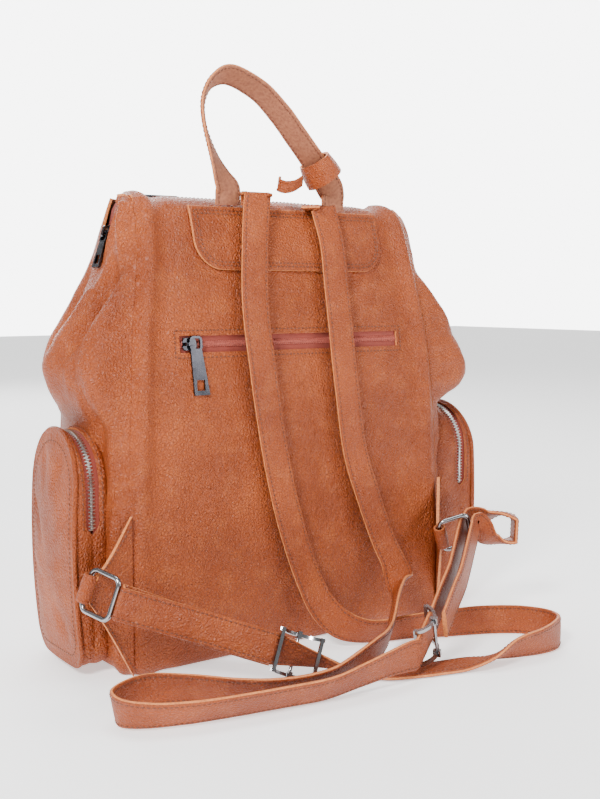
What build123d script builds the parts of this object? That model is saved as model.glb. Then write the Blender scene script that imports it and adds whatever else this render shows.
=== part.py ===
"""Leather backpack with a back zip pocket, two side pockets and two adjustable shoulder straps.

Frame: origin at the middle of the base, on the floor. +Z up, X across the bag, the wearer's side (back
panel, straps, yoke) faces -Y. Millimetres. "left" is the -X side.
"""
from build123d import *
import math
import os

# ---- bag body -------------------------------------------------------------------------------
LEATHER = 2.0                # thickness of the body leather
SEAM_ROUND = 4.0             # how far the back and front panels curve in at their side seams
TOP_Z = 336.0                # height of the zip opening's leather edges
ZIP_MOUTH = 6.0              # half the gap between those edges

# Side profiles, as (height, value). The back leans in towards the top; the front narrows more.
BACK_DEPTH = [(0, 57), (3, 60), (10, 62), (60, 62), (170, 60), (262, 52), (330, 35.6), (335, 29)]
FRONT_DEPTH = [(0, 57), (3, 60), (10, 62), (60, 62), (170, 58), (200, 55), (262, 44), (297, 32),
               (330, 22.5), (335, 20)]
# Half width at the two back seams and at the two front seams.
BACK_WIDTH = [(0, 138), (3, 142), (10, 145), (50, 145), (117, 142.5), (167, 140), (231, 135.5),
              (293, 126), (319, 123.5), (335, 122)]
FRONT_WIDTH = [(0, 138), (3, 142), (10, 145), (50, 145), (117, 143), (167, 142), (216, 138),
               (262, 124), (297, 117), (330, 109), (335, 108)]
# Half width at the middle of the left (-1) and right (1) gusset: they swell out over the side pockets.
GUSSET_CREST = {-1: [(0, 139), (3, 146), (10, 150), (40, 152), (178, 152), (183, 156), (192, 170),
                     (200, 176), (216, 176), (230, 169), (262, 147), (280, 135.5), (286, 132.5),
                     (297, 131.5), (322, 126), (335, 122)],
                1: [(0, 139), (3, 146), (10, 150), (40, 152), (178, 152), (184, 170), (192, 192),
                    (200, 197), (216, 194), (230, 184), (262, 159), (280, 142), (286, 137.5),
                    (297, 133.5), (322, 126), (335, 122)]}
PANEL_ROWS = [0, 3, 10, 60, 117, 170, 178, 184, 192, 200, 216, 231, 262, 280, 286, 297, 312, 322, 330]
PANEL_COLUMNS = [-1, -0.975, -0.93, -0.5, 0, 0.5, 0.93, 0.975, 1]
GUSSET_COLUMNS = [-1, -0.97, -0.9, -0.75, -0.4, 0, 0.4, 0.75, 0.9, 0.97, 1]
GUSSET_SHARPNESS = (6, 2.5)  # how steeply the gusset leaves its back and its front seam
SHOULDER_Z = 335.0           # the panels bend over here, towards the zip
LINING_ROWS = [12, 60, 117, 170, 200, 231, 262, 297, 322]
LINING_GAP = 8.0             # the lining hangs this far inside the leather's outer face
LINING = 0.8

# ---- straps ---------------------------------------------------------------------------------
STRAP_WIDTH = 22.5
STRAP = 3.0                  # two layers of leather
HANDLE_WIDTH = 21.0
HANDLE = 2.6
STEPS = 5                    # facets between two stations of a strap

# ---- zips (across the zip / out of its tape's outer face) -------------------------------------
TAPE_HALF = 13.0
TAPE = 0.8
SLIT = 1.0                   # half the gap between the two tapes, where the slider's post runs
COIL_HALF = 2.8
COIL = 1.2
BACK_SLOT = (200.0, 12.0)    # window in the back panel
BACK_SLOT_Z = 230.5
BACK_SLIDER_X = -92.0
PULLER_PIVOT = 4.2           # height of a puller's bar over the tape's outer face
# Right half of the main zip, as (X, Z): up the gusset and in to the flat top.
MAIN_ZIP = [(128.5, 290.0), (127.0, 300.0), (121.2, 318.0), (119.4, 327.0), (115.5, 332.9)]
MAIN_TAPE_HALF = 7.5
MAIN_SLIDER_X = -109.0
MAIN_PULLER = (36.5, 12.5)   # length, width at the tip
SIDE_PULLER = (27.0, 11.0)
POCKET_PULLER = (24.0, 9.0)

# ---- side pockets -----------------------------------------------------------------------------
POCKET_IN = 152.5            # |X| of the wall's inner edge, on the gusset
POCKET_OUT = {-1: 176.0, 1: 196.0}   # |X| of the wall's outer edge: the right one is puffed out
POCKET_Y = {-1: -3.0, 1: -8.0}       # middle of the pocket
POCKET_HALF = 39.0           # half depth, and radius of the arch
POCKET_ARCH_Z = 132.0        # centre of the arch
POCKET_LOW_Z = 6.0
POCKET_CORNER = 16.0
POCKET_ZIP_IN = 14.0         # from the wall's outer edge to the middle of the zip
POCKET_SLOT = 10.0           # width of the zip's window in the wall
POCKET_ZIP_END_Z = 103.0     # the zip's straight legs end here
POCKET_TAPE = 7.4            # width of one tape

# ---- rings, tabs and adjusters ------------------------------------------------------------------
RING_WIRE = 1.75             # radius
RING_HEIGHT = 28.5           # between the centres of the long bars
RING_CORNER = 5.0
TAB_TURN = 4.0               # radius of the tab's wrap round the ring
STRAP_TURN = 5.0             # radius of the strap's wrap round the ring
SEAM_X = 146.6               # the tabs leave the back seams here
SEAM_Y = -62.6
ADJUSTER_LENGTH = 31.0       # along the strap
ADJUSTER_WIDTH = 30.6        # across the strap
ADJUSTER_BAR = 2.4           # section of the frame's bars
ADJUSTER_FRONT = -3.4        # the frame's end bars pass in front of the running strap
ADJUSTER_BACK = 6.4          # its middle bows back, to the bar that holds the strap's sewn end
RETURN_GAP = 9.6             # from the running strap to the return strap
SEWN_GAP = 3.4               # from the running strap to the sewn end
HANDLE_ROOTS = (-48.2, 48.5)
ROOT_Y = -37.6               # the handle and the straps stand up from here
HANDLE_SPLIT = 337.0         # the handle bends here, just above the bag's top edge


def save(name, shape):
    """Write one node."""
    os.makedirs("parts", exist_ok=True)
    export_step(shape, f"parts/{name}.step")


def at(table, z):
    """Value of a profile at height z."""
    for (z0, v0), (z1, v1) in zip(table, table[1:]):
        if z <= z1:
            return v0 + (v1 - v0) * (z - z0) / (z1 - z0)
    return table[-1][1]


# ---- solids with flat facets --------------------------------------------------------------------
def facet(points):
    return Face(Wire(Polyline(*points, close=True).edges()))


def quad(a, b, c, d):
    """Two flat triangles; a corner that is doubled leaves one."""
    triangles = []
    for p, q, r in ((a, b, c), (a, c, d)):
        if min((p - q).length, (q - r).length, (r - p).length) > 1e-6:
            triangles.append(facet([p, q, r]))
    return triangles


def slab(outer, inner):
    """Closed solid between two grids of points with the same rows and columns."""
    faces = []
    rows, columns = len(outer), len(outer[0])
    for i in range(rows - 1):
        for j in range(columns - 1):
            faces += quad(outer[i][j], outer[i][j + 1], outer[i + 1][j + 1], outer[i + 1][j])
            faces += quad(inner[i][j], inner[i + 1][j], inner[i + 1][j + 1], inner[i][j + 1])
    for j in range(columns - 1):
        faces += quad(outer[0][j + 1], outer[0][j], inner[0][j], inner[0][j + 1])
        faces += quad(outer[-1][j], outer[-1][j + 1], inner[-1][j + 1], inner[-1][j])
    for i in range(rows - 1):
        faces += quad(outer[i][0], outer[i + 1][0], inner[i + 1][0], inner[i][0])
        faces += quad(outer[i + 1][-1], outer[i][-1], inner[i][-1], inner[i + 1][-1])
    solid = Solid(Shell(faces))
    return solid if solid.volume > 0 else -solid


def smooth(stations, steps=STEPS):
    """Catmull-Rom curve through (point, across) stations."""
    out = []
    count = len(stations)
    for i in range(count - 1):
        group = [stations[max(i - 1, 0)], stations[i], stations[i + 1], stations[min(i + 2, count - 1)]]
        for k in range(steps):
            t = k / steps
            weights = (-t + 2 * t**2 - t**3, 2 - 5 * t**2 + 3 * t**3, t + 4 * t**2 - 3 * t**3, t**3 - t**2)
            point = sum((g[0] * (w / 2) for g, w in zip(group, weights)), Vector(0, 0, 0))
            across = sum((g[1] * (w / 2) for g, w in zip(group, weights)), Vector(0, 0, 0))
            out.append((point, across))
    return out + [stations[-1]]


def ribbon(stations, width, thickness, lift=0.0, shift=0.0):
    """Flat strap through (centre, across) stations.

    lift moves it along the face normal (across x tangent), shift along its width.
    """
    top, bottom = [], []
    for i, (point, across) in enumerate(stations):
        before = stations[max(i - 1, 0)][0]
        after = stations[min(i + 1, len(stations) - 1)][0]
        tangent = (after - before).normalized()
        across = (across - tangent * across.dot(tangent)).normalized()
        normal = across.cross(tangent)
        centre = point + normal * lift + across * shift
        edges = (centre - across * (width / 2), centre + across * (width / 2))
        top.append([e + normal * (thickness / 2) for e in edges])
        bottom.append([e - normal * (thickness / 2) for e in edges])
    return slab(top, bottom)


def station(x, y, z, across):
    return Vector(x, y, z), Vector(*across).normalized()


def on_floor(x, y, lean=(0, 0), lift=0.0):
    """Station of a strap that stands on its edge on the floor; lean tips its top edge sideways."""
    across = Vector(lean[0], lean[1], 1).normalized()
    reach = STRAP_WIDTH / 2 * across.Z + STRAP / 2 * math.sqrt(1 - across.Z**2)
    return Vector(x, y, reach + 0.5 + lift), across


def turn(centre, axis, start, sweep, radius, steps=6):
    """Stations round an axis: from the direction start, through sweep degrees."""
    side = axis.cross(start)
    out = []
    for k in range(steps + 1):
        angle = math.radians(sweep * k / steps)
        out.append((centre + (start * math.cos(angle) + side * math.sin(angle)) * radius, axis))
    return out


# ---- bag body -------------------------------------------------------------------------------
def depth(z, side):
    return at(BACK_DEPTH if side < 0 else FRONT_DEPTH, z)


def panel_point(fraction, z, side, inset=0.0):
    """Point of the back (side -1) or front (side 1) panel."""
    width = at(BACK_WIDTH if side < 0 else FRONT_WIDTH, z)
    bend = SEAM_ROUND * max(0.0, (abs(fraction) - 0.93) / 0.07) ** 2
    return Vector(fraction * (width - inset), side * (depth(z, side) - bend - inset), z)


def gusset_point(t, z, side, inset=0.0):
    """Point of the left (side -1) or right (side 1) gusset; t runs from the back to the front seam."""
    front = (1 + t) / 2
    width = at(BACK_WIDTH, z) * (1 - front) + at(FRONT_WIDTH, z) * front
    swell = (at(GUSSET_CREST[side], z) - width) * (1 - abs(t) ** GUSSET_SHARPNESS[t > 0])
    return Vector(side * (width + swell - inset), t * (depth(z, t) - SEAM_ROUND - inset), z)


def shoulder(fraction, side, inset):
    """Point where a panel bends over, and the point under the zip's edge."""
    edge = panel_point(fraction, SHOULDER_Z, side, inset)
    low = Vector(edge.X, edge.Y, SHOULDER_Z - inset)
    return low, Vector(edge.X, side * ZIP_MOUTH, TOP_Z - inset)


def panel(side):
    grids = []
    for inset in (0.0, LEATHER):
        grid = [[panel_point(f, z, side, inset) for f in PANEL_COLUMNS] for z in PANEL_ROWS]
        for k in (0, 1):
            grid.append([shoulder(f, side, inset)[k] for f in PANEL_COLUMNS])
        grids.append(grid)
    return slab(*grids)


def gusset(side):
    """Side wall, cut away at the top for the end of the main zip."""
    outer = [[gusset_point(t, z, side) for t in GUSSET_COLUMNS] for z in PANEL_ROWS]
    inner = [[gusset_point(t, z, side, LEATHER) for t in GUSSET_COLUMNS] for z in PANEL_ROWS]
    low = MAIN_ZIP[0][1] - 2
    mouth = Box(40, 2 * ZIP_MOUTH, 60, align=(Align.CENTER, Align.CENTER, Align.MIN))
    return slab(outer, inner) - Pos(side * MAIN_ZIP[0][0], 0, low) * mouth


def back_plane(x, z, out=0.0):
    """Frame on the back panel: x along +X, y up the panel, z out of it."""
    rise = 15.0
    tilt = math.degrees(math.atan2(depth(z - rise, -1) - depth(z + rise, -1), 2 * rise))
    plane = Plane((x, -depth(z, -1), z), x_dir=(1, 0, 0), z_dir=(0, -1, 0))
    return plane.rotated((-tilt, 0, 0)).offset(out)


def outline(z, inset):
    """Corners of the bag's section at height z."""
    points = [gusset_point(t, z, 1, inset) for t in GUSSET_COLUMNS]
    points += [panel_point(f, z, 1, inset) for f in PANEL_COLUMNS[::-1][1:]]
    points += [gusset_point(t, z, -1, inset) for t in GUSSET_COLUMNS[::-1][1:]]
    points += [panel_point(f, z, -1, inset) for f in PANEL_COLUMNS[1:-1]]
    return points


def plate(z, inset, low, high):
    """Flat plate of the bag's section."""
    face = facet([Vector(p.X, p.Y, low) for p in outline(z, inset)])
    return extrude(face, amount=high - low, dir=(0, 0, 1))


def lining_row(z, gap):
    """Rectangular section of the lining: it does not follow the gussets' swell."""
    row = []
    for side, order in ((-1, 1), (1, -1)):
        for f in (-1, -0.5, 0, 0.5, 1):
            p = panel_point(f * 0.93, z, side, gap)
            row.append(Vector(order * p.X, p.Y, z))
    return row


def lining():
    """Loose fabric bag, open at the top."""
    shells = [[lining_row(z, gap) for z in LINING_ROWS] for gap in (LINING_GAP, LINING_GAP + LINING)]
    shells[1][0] = [Vector(p.X, p.Y, p.Z + LINING) for p in shells[1][0]]
    faces = [facet(shells[0][0]), facet(shells[1][0])]
    count = len(shells[0][0])
    for j in range(count):
        k = (j + 1) % count
        for shell in shells:
            for low, high in zip(shell, shell[1:]):
                faces += quad(low[j], low[k], high[k], high[j])
        faces += quad(shells[0][-1][j], shells[0][-1][k], shells[1][-1][k], shells[1][-1][j])
    solid = Solid(Shell(faces))
    return solid if solid.volume > 0 else -solid


def yoke():
    """Patch over the strap and handle roots: square top corners, round bottom corners."""
    low, high = 283.0, 329.0
    plane = back_plane(4.0, (low + high) / 2, 0.5)
    lean = math.atan2(plane.y_dir.Y, plane.y_dir.Z)
    sketch = Rectangle(172, (high - low) / math.cos(lean))
    sketch = fillet(sketch.vertices().group_by(Axis.Y)[0], 22)
    return extrude(plane * sketch, amount=2.2)


# ---- zips -----------------------------------------------------------------------------------
def zip_half(stations, side, edge, thickness, lift):
    """One tape, or one half of the coil: from the slit out to an edge."""
    return ribbon(stations, edge - SLIT, thickness, lift, side * (SLIT + edge) / 2)


def zip_pair(stations, edge, thickness, lift):
    return Compound(children=[zip_half(stations, side, edge, thickness, lift) for side in (-1, 1)])


def slider(keel=-1.1):
    """Zip slider: x along the zip, y across it, z out of the tape; keel is the lower plate's top."""
    top = Pos(0, 0, 2.2) * extrude(RectangleRounded(11, 8.8, 3.2), amount=0.7, both=True)
    low = Pos(0, 0, keel - 0.6) * extrude(RectangleRounded(9, 8.0, 2.6), amount=0.6, both=True)
    post = Pos(-2.6, 0, (keel + 1.6) / 2) * Box(2.6, 1.3, 1.6 - keel)
    lips = Pos(0, 3.75, 1.0) * Box(9, 1.0, 1.1) + Pos(0, -3.75, 1.0) * Box(9, 1.0, 1.1)
    crown = Pos(0, 0, 4.85) * Box(8.6, 2.4, 4.1)
    crown = fillet(crown.edges().filter_by(Axis.Y).group_by(Axis.Z)[-1], 1.6)
    crown -= Pos(0, 0, PULLER_PIVOT) * Box(5.8, 6, 2.6)
    return top + low + post + lips + crown


def side_hung_puller():
    """Puller of a level zip: its ring passes under the crown sideways and the tab hangs down."""
    ring = Pos(4.2, 0.2) * RectangleRounded(10.1, 10.8, 3.4)
    ring -= Pos(4.25, 0.2) * RectangleRounded(6.7, 7.4, 1.6)
    tab = make_face(Polyline((-0.3, -4.4), (8.7, -4.4), (13.7, -36.5), (1.2, -36.5), close=True))
    window = Pos(6.6, -29.5) * Rectangle(6.6, 7.6)
    return Pos(0, 0, PULLER_PIVOT) * extrude(ring + tab - window, amount=0.85, both=True)


def inline_puller(length, tip):
    """Puller that lies along its zip, towards local +x."""
    ring = Pos(3.9, 0) * RectangleRounded(9.5, 10, 3) - Pos(3.95, 0) * RectangleRounded(6.1, 6.6, 1.6)
    tab = make_face(Polyline((8.0, -4.2), (length, -tip / 2), (length, tip / 2), (8.0, 4.2), close=True))
    window = Pos(length - 6, 0) * Rectangle(min(7.0, length / 4), tip * 0.55)
    return Pos(0, 0, PULLER_PIVOT) * extrude(ring + tab - window, amount=0.85, both=True)


def back_zip():
    """Zip of the pocket in the back panel; the slider stands at its left end."""
    plane = back_plane(0, BACK_SLOT_Z, -LEATHER - 0.1)

    def line(half):
        return [(plane.from_local_coords(Vector(x, 0, 0)), plane.y_dir) for x in (half, -half)]

    tape = zip_pair(line(BACK_SLOT[0] / 2 + 5), TAPE_HALF, TAPE, -TAPE / 2)
    coil = zip_pair(line(BACK_SLOT[0] / 2 - 0.5), COIL_HALF, COIL, COIL / 2 + 0.02)
    place = plane * Pos(BACK_SLIDER_X, 0, 0)
    return {"tape": tape, "coil": coil, "slider": place * slider(), "puller": place * side_hung_puller()}


def pouch():
    """Flat empty fabric pouch behind the back zip."""
    line = [station(0, -depth(z, -1) + 5.2, z, (1, 0, 0)) for z in (242, 206, 170, 130, 95)]
    return ribbon(line, 206, 1.4)


def main_zip():
    """Zip along the top and a little way down each gusset. Both sliders stand at its left end."""
    points = MAIN_ZIP + [(-x, z) for x, z in MAIN_ZIP[::-1]]
    line = [station(x, 0, z, (0, 1, 0)) for x, z in points]
    top = Plane((MAIN_SLIDER_X, 0, MAIN_ZIP[-1][1]), x_dir=(1, 0, 0), z_dir=(0, 0, 1))
    (x0, z0), (x1, z1) = MAIN_ZIP[2], MAIN_ZIP[1]
    down = Vector(x0 - x1, 0, z1 - z0).normalized()
    slope = Plane((-(x0 + x1) / 2, 0, (z0 + z1) / 2), x_dir=down, z_dir=Vector(0, 1, 0).cross(down))
    return {"tape": zip_pair(line, MAIN_TAPE_HALF, TAPE, -TAPE / 2),
            "coil": zip_pair(line, COIL_HALF, COIL, COIL / 2 + 0.02),
            "top_slider": top * slider(), "top_puller": top * inline_puller(*MAIN_PULLER),
            "side_slider": slope * slider(), "side_puller": slope * inline_puller(*SIDE_PULLER)}


# ---- side pockets ---------------------------------------------------------------------------
def pocket_outline(grow=0.0):
    """Arched outline, drawn with x across the pocket (bag's Y) and y up."""
    half = POCKET_HALF + grow
    low = POCKET_LOW_Z - grow
    body = Pos(0, (low + POCKET_ARCH_Z) / 2) * Rectangle(2 * half, POCKET_ARCH_Z - low)
    body = fillet(body.vertices().group_by(Axis.Y)[0], POCKET_CORNER + grow)
    return body + Pos(0, POCKET_ARCH_Z) * Circle(half)


def pocket(side):
    """Outer face, wall, zip tape, teeth, slider and puller of one side pocket."""
    outside, y = POCKET_OUT[side], POCKET_Y[side]

    def block(sketch, x0, x1):
        base = Plane((side * x0, y, 0), x_dir=(0, side, 0), z_dir=(side, 0, 0))
        return extrude(base * sketch, amount=x1 - x0)

    face = block(pocket_outline(1.2), outside + 0.1, outside + LEATHER + 0.1)
    wall = block(pocket_outline() - pocket_outline(-LEATHER), POCKET_IN, outside)
    middle = side * (outside - POCKET_ZIP_IN)
    slot = Box(POCKET_SLOT, 3 * POCKET_HALF, 100, align=(Align.CENTER, Align.CENTER, Align.MIN))
    wall -= Pos(middle, y, POCKET_ZIP_END_Z) * slot
    radius = POCKET_HALF - LEATHER - 0.1

    def line(low):
        """Inside the wall: up the back leg, round the arch and down the front leg."""
        arch = [math.radians(180 - 10 * k) for k in range(19)]
        path = [(y - radius, low)]
        path += [(y + radius * math.cos(a), POCKET_ARCH_Z + radius * math.sin(a)) for a in arch]
        path.append((y + radius, low))
        return [station(middle, v, z, (1, 0, 0)) for v, z in path]

    down = Plane((middle, y + radius, POCKET_ARCH_Z), x_dir=(0, 0, -1), z_dir=(0, 1, 0))
    return {"face": face, "wall": wall,
            "zip_tape": zip_pair(line(POCKET_ZIP_END_Z - 6), SLIT + POCKET_TAPE, TAPE, -TAPE / 2),
            "zip_teeth": zip_pair(line(POCKET_ZIP_END_Z + 0.6), COIL_HALF, COIL, COIL / 2 + 0.02),
            "zip_slider": down * slider(keel=-1.5), "zip_puller": down * inline_puller(*POCKET_PULLER)}


# ---- rings, corner tabs and adjusters ---------------------------------------------------------
class Corner:
    """One lower corner: its tab, ring, doubled strap and adjuster.

    anchor: middle of the ring's bar in the tab. bar: middle of the ring's bar in the strap.
    upright: direction of both bars. buckle: middle of the adjuster, on the running strap.
    lean: degrees the adjuster tips about the strap. slack: stations of a loose loop beyond the ring.
    """

    def __init__(self, side, anchor, bar, upright, buckle, lean, slack=()):
        self.side = side
        self.slack = slack
        self.anchor = Vector(*anchor)
        self.upright = Vector(*upright).normalized()
        reach = Vector(*bar) - self.anchor
        self.reach = reach - self.upright * reach.dot(self.upright)
        self.bar = self.anchor + self.reach
        self.buckle = Vector(*buckle)
        self.run = (self.bar - self.buckle).normalized()
        level = self.run.cross(Vector(0, 0, 1)).normalized()
        rise = level.cross(self.run)
        tip = math.radians(lean)
        self.across = rise * math.cos(tip) + level * math.sin(tip)
        self.back = self.run.cross(self.across)

    def ring(self):
        """Rectangular wire ring with round corners."""
        plane = Plane(self.anchor + self.reach / 2, x_dir=self.reach.normalized(),
                      z_dir=self.reach.cross(self.upright))
        path = plane * RectangleRounded(self.reach.length, RING_HEIGHT, RING_CORNER).wire()
        start = path.edges().sort_by(lambda e: -e.length)[0]
        section = Plane(start @ 0.5, z_dir=start % 0.5) * Circle(RING_WIRE)
        return sweep(section, path=path)

    def tab(self):
        """Triangular leather wing from the seam to the ring, its end wrapped round the ring's bar."""
        seam_x = self.side * SEAM_X
        out = self.anchor - Vector(seam_x, SEAM_Y, 58)
        out = (out - self.upright * out.dot(self.upright)).normalized()
        normal = out.cross(self.upright).normalized()
        half = RING_HEIGHT / 2 - 4.4
        end = self.anchor - out * (TAB_TURN + 0.9)
        spread = ((4, -1.0), (40, -0.3), (78, 0.3), (112, 1.0))
        rows = [[Vector(seam_x, SEAM_Y, z), end + self.upright * (half * w)] for z, w in spread]
        front = [[p + normal * 1.1 for p in row] for row in rows]
        rear = [[p - normal * 1.1 for p in row] for row in rows]
        loop = ribbon(turn(self.anchor, self.upright, -out, 300, TAB_TURN, 14), 2 * half, 1.6)
        return Compound(children=[slab(front, rear), loop])

    def between(self, share, gap):
        """Station on the doubled strap, share of the way from the adjuster to the ring."""
        point = self.buckle + (self.bar - self.buckle) * share + self.back * gap
        return point, (self.across * (1 - share) + self.upright * share).normalized()

    def strap_to_ring(self):
        """Stations from the adjuster up to the ring, round its bar and back to the sewn end."""
        travel = (self.run - self.upright * self.run.dot(self.upright)).normalized()
        back = travel.cross(self.upright).normalized()
        path = [(self.buckle + self.run * s, self.across) for s in (-20, -10, 0, 10, 20)]
        path += [self.between(share, 0) for share in (0.35, 0.55)]
        path.append((self.bar - back * STRAP_TURN - travel * 9, self.upright))
        if self.slack:
            path.append((self.bar - back * STRAP_TURN, self.upright))
            path.append((self.bar - back * 3 + travel * 10, self.upright))
            path += self.slack
            path.append((self.bar + back * STRAP_TURN + travel * 4, self.upright))
        else:
            path += turn(self.bar, self.upright, -back, -180, STRAP_TURN, 8)
        path.append((self.bar + back * STRAP_TURN - travel * 9, self.upright))
        path += [self.between(share, RETURN_GAP) for share in (0.55, 0.35)]
        path += [(self.buckle + self.run * s + self.back * RETURN_GAP, self.across) for s in (18, 9)]
        fold = (RETURN_GAP - SEWN_GAP) / 2
        path += turn(self.buckle + self.back * ADJUSTER_BACK, self.across, self.back, -180, fold)
        path += [(self.buckle + self.run * s + self.back * SEWN_GAP, self.across) for s in (8, 17)]
        return path

    def adjuster_plane(self):
        """x along the strap towards the ring, y across it, z to the back."""
        return Plane(self.buckle, x_dir=self.run, z_dir=self.back)

    def adjuster(self):
        """Frame with two bowed side bars; its two end bars lie in front of the strap."""
        half = ADJUSTER_LENGTH / 2
        arc = ThreePointArc((-half, ADJUSTER_FRONT), (0, ADJUSTER_BACK), (half, ADJUSTER_FRONT))
        side_view = Plane(self.buckle, x_dir=self.run, z_dir=self.run.cross(self.back))
        bow = extrude(side_view * trace(arc, ADJUSTER_BAR), amount=ADJUSTER_WIDTH / 2, both=True)
        plane = self.adjuster_plane()
        frame = bow - plane * Box(2 * ADJUSTER_LENGTH, ADJUSTER_WIDTH - 2 * ADJUSTER_BAR, 60)
        for s in (-1, 1):
            place = Pos(s * (half - ADJUSTER_BAR / 2), 0, ADJUSTER_FRONT)
            frame += plane * place * Box(ADJUSTER_BAR, ADJUSTER_WIDTH, 2.2)
        return frame

    def adjuster_bar(self):
        """Centre bar in the strap's sewn end, with a knuckle round each side bar."""
        reach = ADJUSTER_WIDTH / 2 - ADJUSTER_BAR / 2
        shape = Rot(90, 0, 0) * Cylinder(1.2, 2 * reach - 4)
        for s in (-1, 1):
            shape += Pos(0, s * reach, 0) * (Box(3.0, 5.2, 5.6) - Box(4.0, 3.0, 3.5))
        return self.adjuster_plane() * Pos(0, 0, ADJUSTER_BACK) * shape


LEFT = Corner(-1, anchor=(-177, -63, 70), bar=(-167, -86, 70), upright=(0.30, -0.10, 0.95),
              buckle=(-57, -136, 20.5), lean=20)
# Beyond the right ring the strap runs on in a loose loop, with its width level.
LOOSE = (-0.6, -0.8, 0)
RIGHT_SLACK = [station(166, -90, 82, (-0.5, -0.55, 0.6)), station(178, -99, 85, (-0.6, -0.75, 0.2)),
               station(187, -108, 81, LOOSE), station(191, -112, 73, LOOSE),
               station(187, -108.5, 64.5, LOOSE), station(176, -103, 62, (-0.6, -0.75, 0.2)),
               station(164, -99, 66, (-0.5, -0.5, 0.6))]
RIGHT = Corner(1, anchor=(124, -85, 70), bar=(146, -96, 72), upright=(-0.42, -0.2, 0.89),
               buckle=(33, -168, 25.5), lean=0, slack=RIGHT_SLACK)


# ---- shoulder straps ----------------------------------------------------------------------------
def left_strap():
    """From the yoke down the back, round the right-hand floor loop, through the adjuster to the ring."""
    flat = (1, 0, 0)
    path = [station(-25.5, ROOT_Y, 331, flat), station(-25.8, -38.2, 342, flat),
            station(-27, -43.3, 347, flat), station(-28.5, -48.2, 342, flat),
            station(-30.5, -49, 328, flat), station(-34.5, -53.2, 303, flat),
            station(-38.5, -58.5, 270, flat), station(-39, -62.3, 243, flat),
            station(-36, -64.8, 213, flat), station(-33.5, -66.3, 190, flat),
            station(-27.3, -67.5, 151, flat), station(-19, -68.5, 113, flat),
            station(-8.7, -70, 77, flat), station(0.5, -73, 50, (1, 0, 0.2)),
            station(6, -80, 33, (0.9, -0.1, 0.4)), station(14, -90, 20, (0.6, -0.3, 0.7)),
            station(27, -99, 13.5, (0.25, -0.5, 0.85))]
    path += [on_floor(45, -104, (0, -0.55)), on_floor(70, -110, (0, -0.4)), on_floor(95, -120, (0, -0.2)),
             on_floor(118, -127), on_floor(138, -137), on_floor(153, -150), on_floor(160, -167),
             on_floor(156, -181), on_floor(143, -190), on_floor(122, -194, (0, -0.3)),
             on_floor(98, -191, (0, -0.7))]
    # It lies flat where the other strap crosses over it, and rises again behind it.
    path += [station(74, -186, 5.6, (0.15, -1, 0.35)), station(55, -177.5, 2.4, (0.3, -1, 0.04)),
             station(30, -170, 1.9, (0.3, -1, 0)), station(11, -163.5, 1.9, (0.35, -1, 0)),
             station(-3, -155.5, 2.0, (0.4, -1, 0.02)), station(-15, -147.5, 3.6, (-0.4, -0.9, 0.1)),
             station(-21, -144.5, 7.8, (-0.35, -0.75, 0.5)),
             station(-27, -142.5, 12.4, (-0.3, -0.6, 0.8))]
    # It is straight before it enters the adjuster.
    path.append((LEFT.buckle - LEFT.run * 24, LEFT.across))
    return smooth(path + LEFT.strap_to_ring())


def right_strap():
    """From the yoke down the back, round the left-hand floor loop, through the adjuster to the ring."""
    flat = (1, 0, 0)
    path = [station(21.8, ROOT_Y, 331, flat), station(22.3, -38.2, 337.5, flat),
            station(25.5, -43.3, 342, flat), station(29, -48.2, 337.5, flat),
            station(32, -49, 327, flat), station(36.3, -53.2, 303, flat),
            station(36.6, -58.5, 270, flat), station(37.4, -62.3, 243, flat),
            station(39.3, -64.8, 213, flat), station(42, -66.5, 186, flat),
            station(48, -67.7, 145, flat), station(60, -69.2, 109, flat),
            station(73, -73, 72, (1, 0, 0.15)), station(77, -82, 54, (0.95, 0, 0.35)),
            station(73, -93, 43, (0.7, -0.1, 0.7)), station(61, -105, 38, (0.35, -0.15, 0.93)),
            station(45, -119, 31, (0.1, -0.3, 0.95))]
    path += [on_floor(29, -133, (0, -0.4), 9.5), on_floor(8, -150, (0, -0.4), 8.5),
             on_floor(-12, -161, (0, -0.4), 8.5),
             on_floor(-32, -165, (0, -0.5), 4.5), on_floor(-50, -166, (0, -0.6), 0.4),
             on_floor(-70, -165, (0, -0.7)), on_floor(-94, -159, (0, -0.7)), on_floor(-117, -145, (0, -0.6)),
             on_floor(-140, -124, (0, -0.4)), on_floor(-160, -116), on_floor(-179, -119),
             on_floor(-191, -130, (-0.2, 0)), on_floor(-190, -143, (-0.3, -0.3)),
             on_floor(-176, -154, (-0.2, -0.6)), on_floor(-152, -163, (-0.2, -0.7)),
             on_floor(-124, -169, (-0.1, -0.75)), on_floor(-94, -174, (0, -0.75)),
             on_floor(-62, -178.5, (0, -0.7)), on_floor(-36, -181.5, (0, -0.55), 4),
             on_floor(-12, -183, (0, -0.35), 7.5), on_floor(5, -181.5, (0, -0.15), 8)]
    return smooth(path + RIGHT.strap_to_ring())


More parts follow.
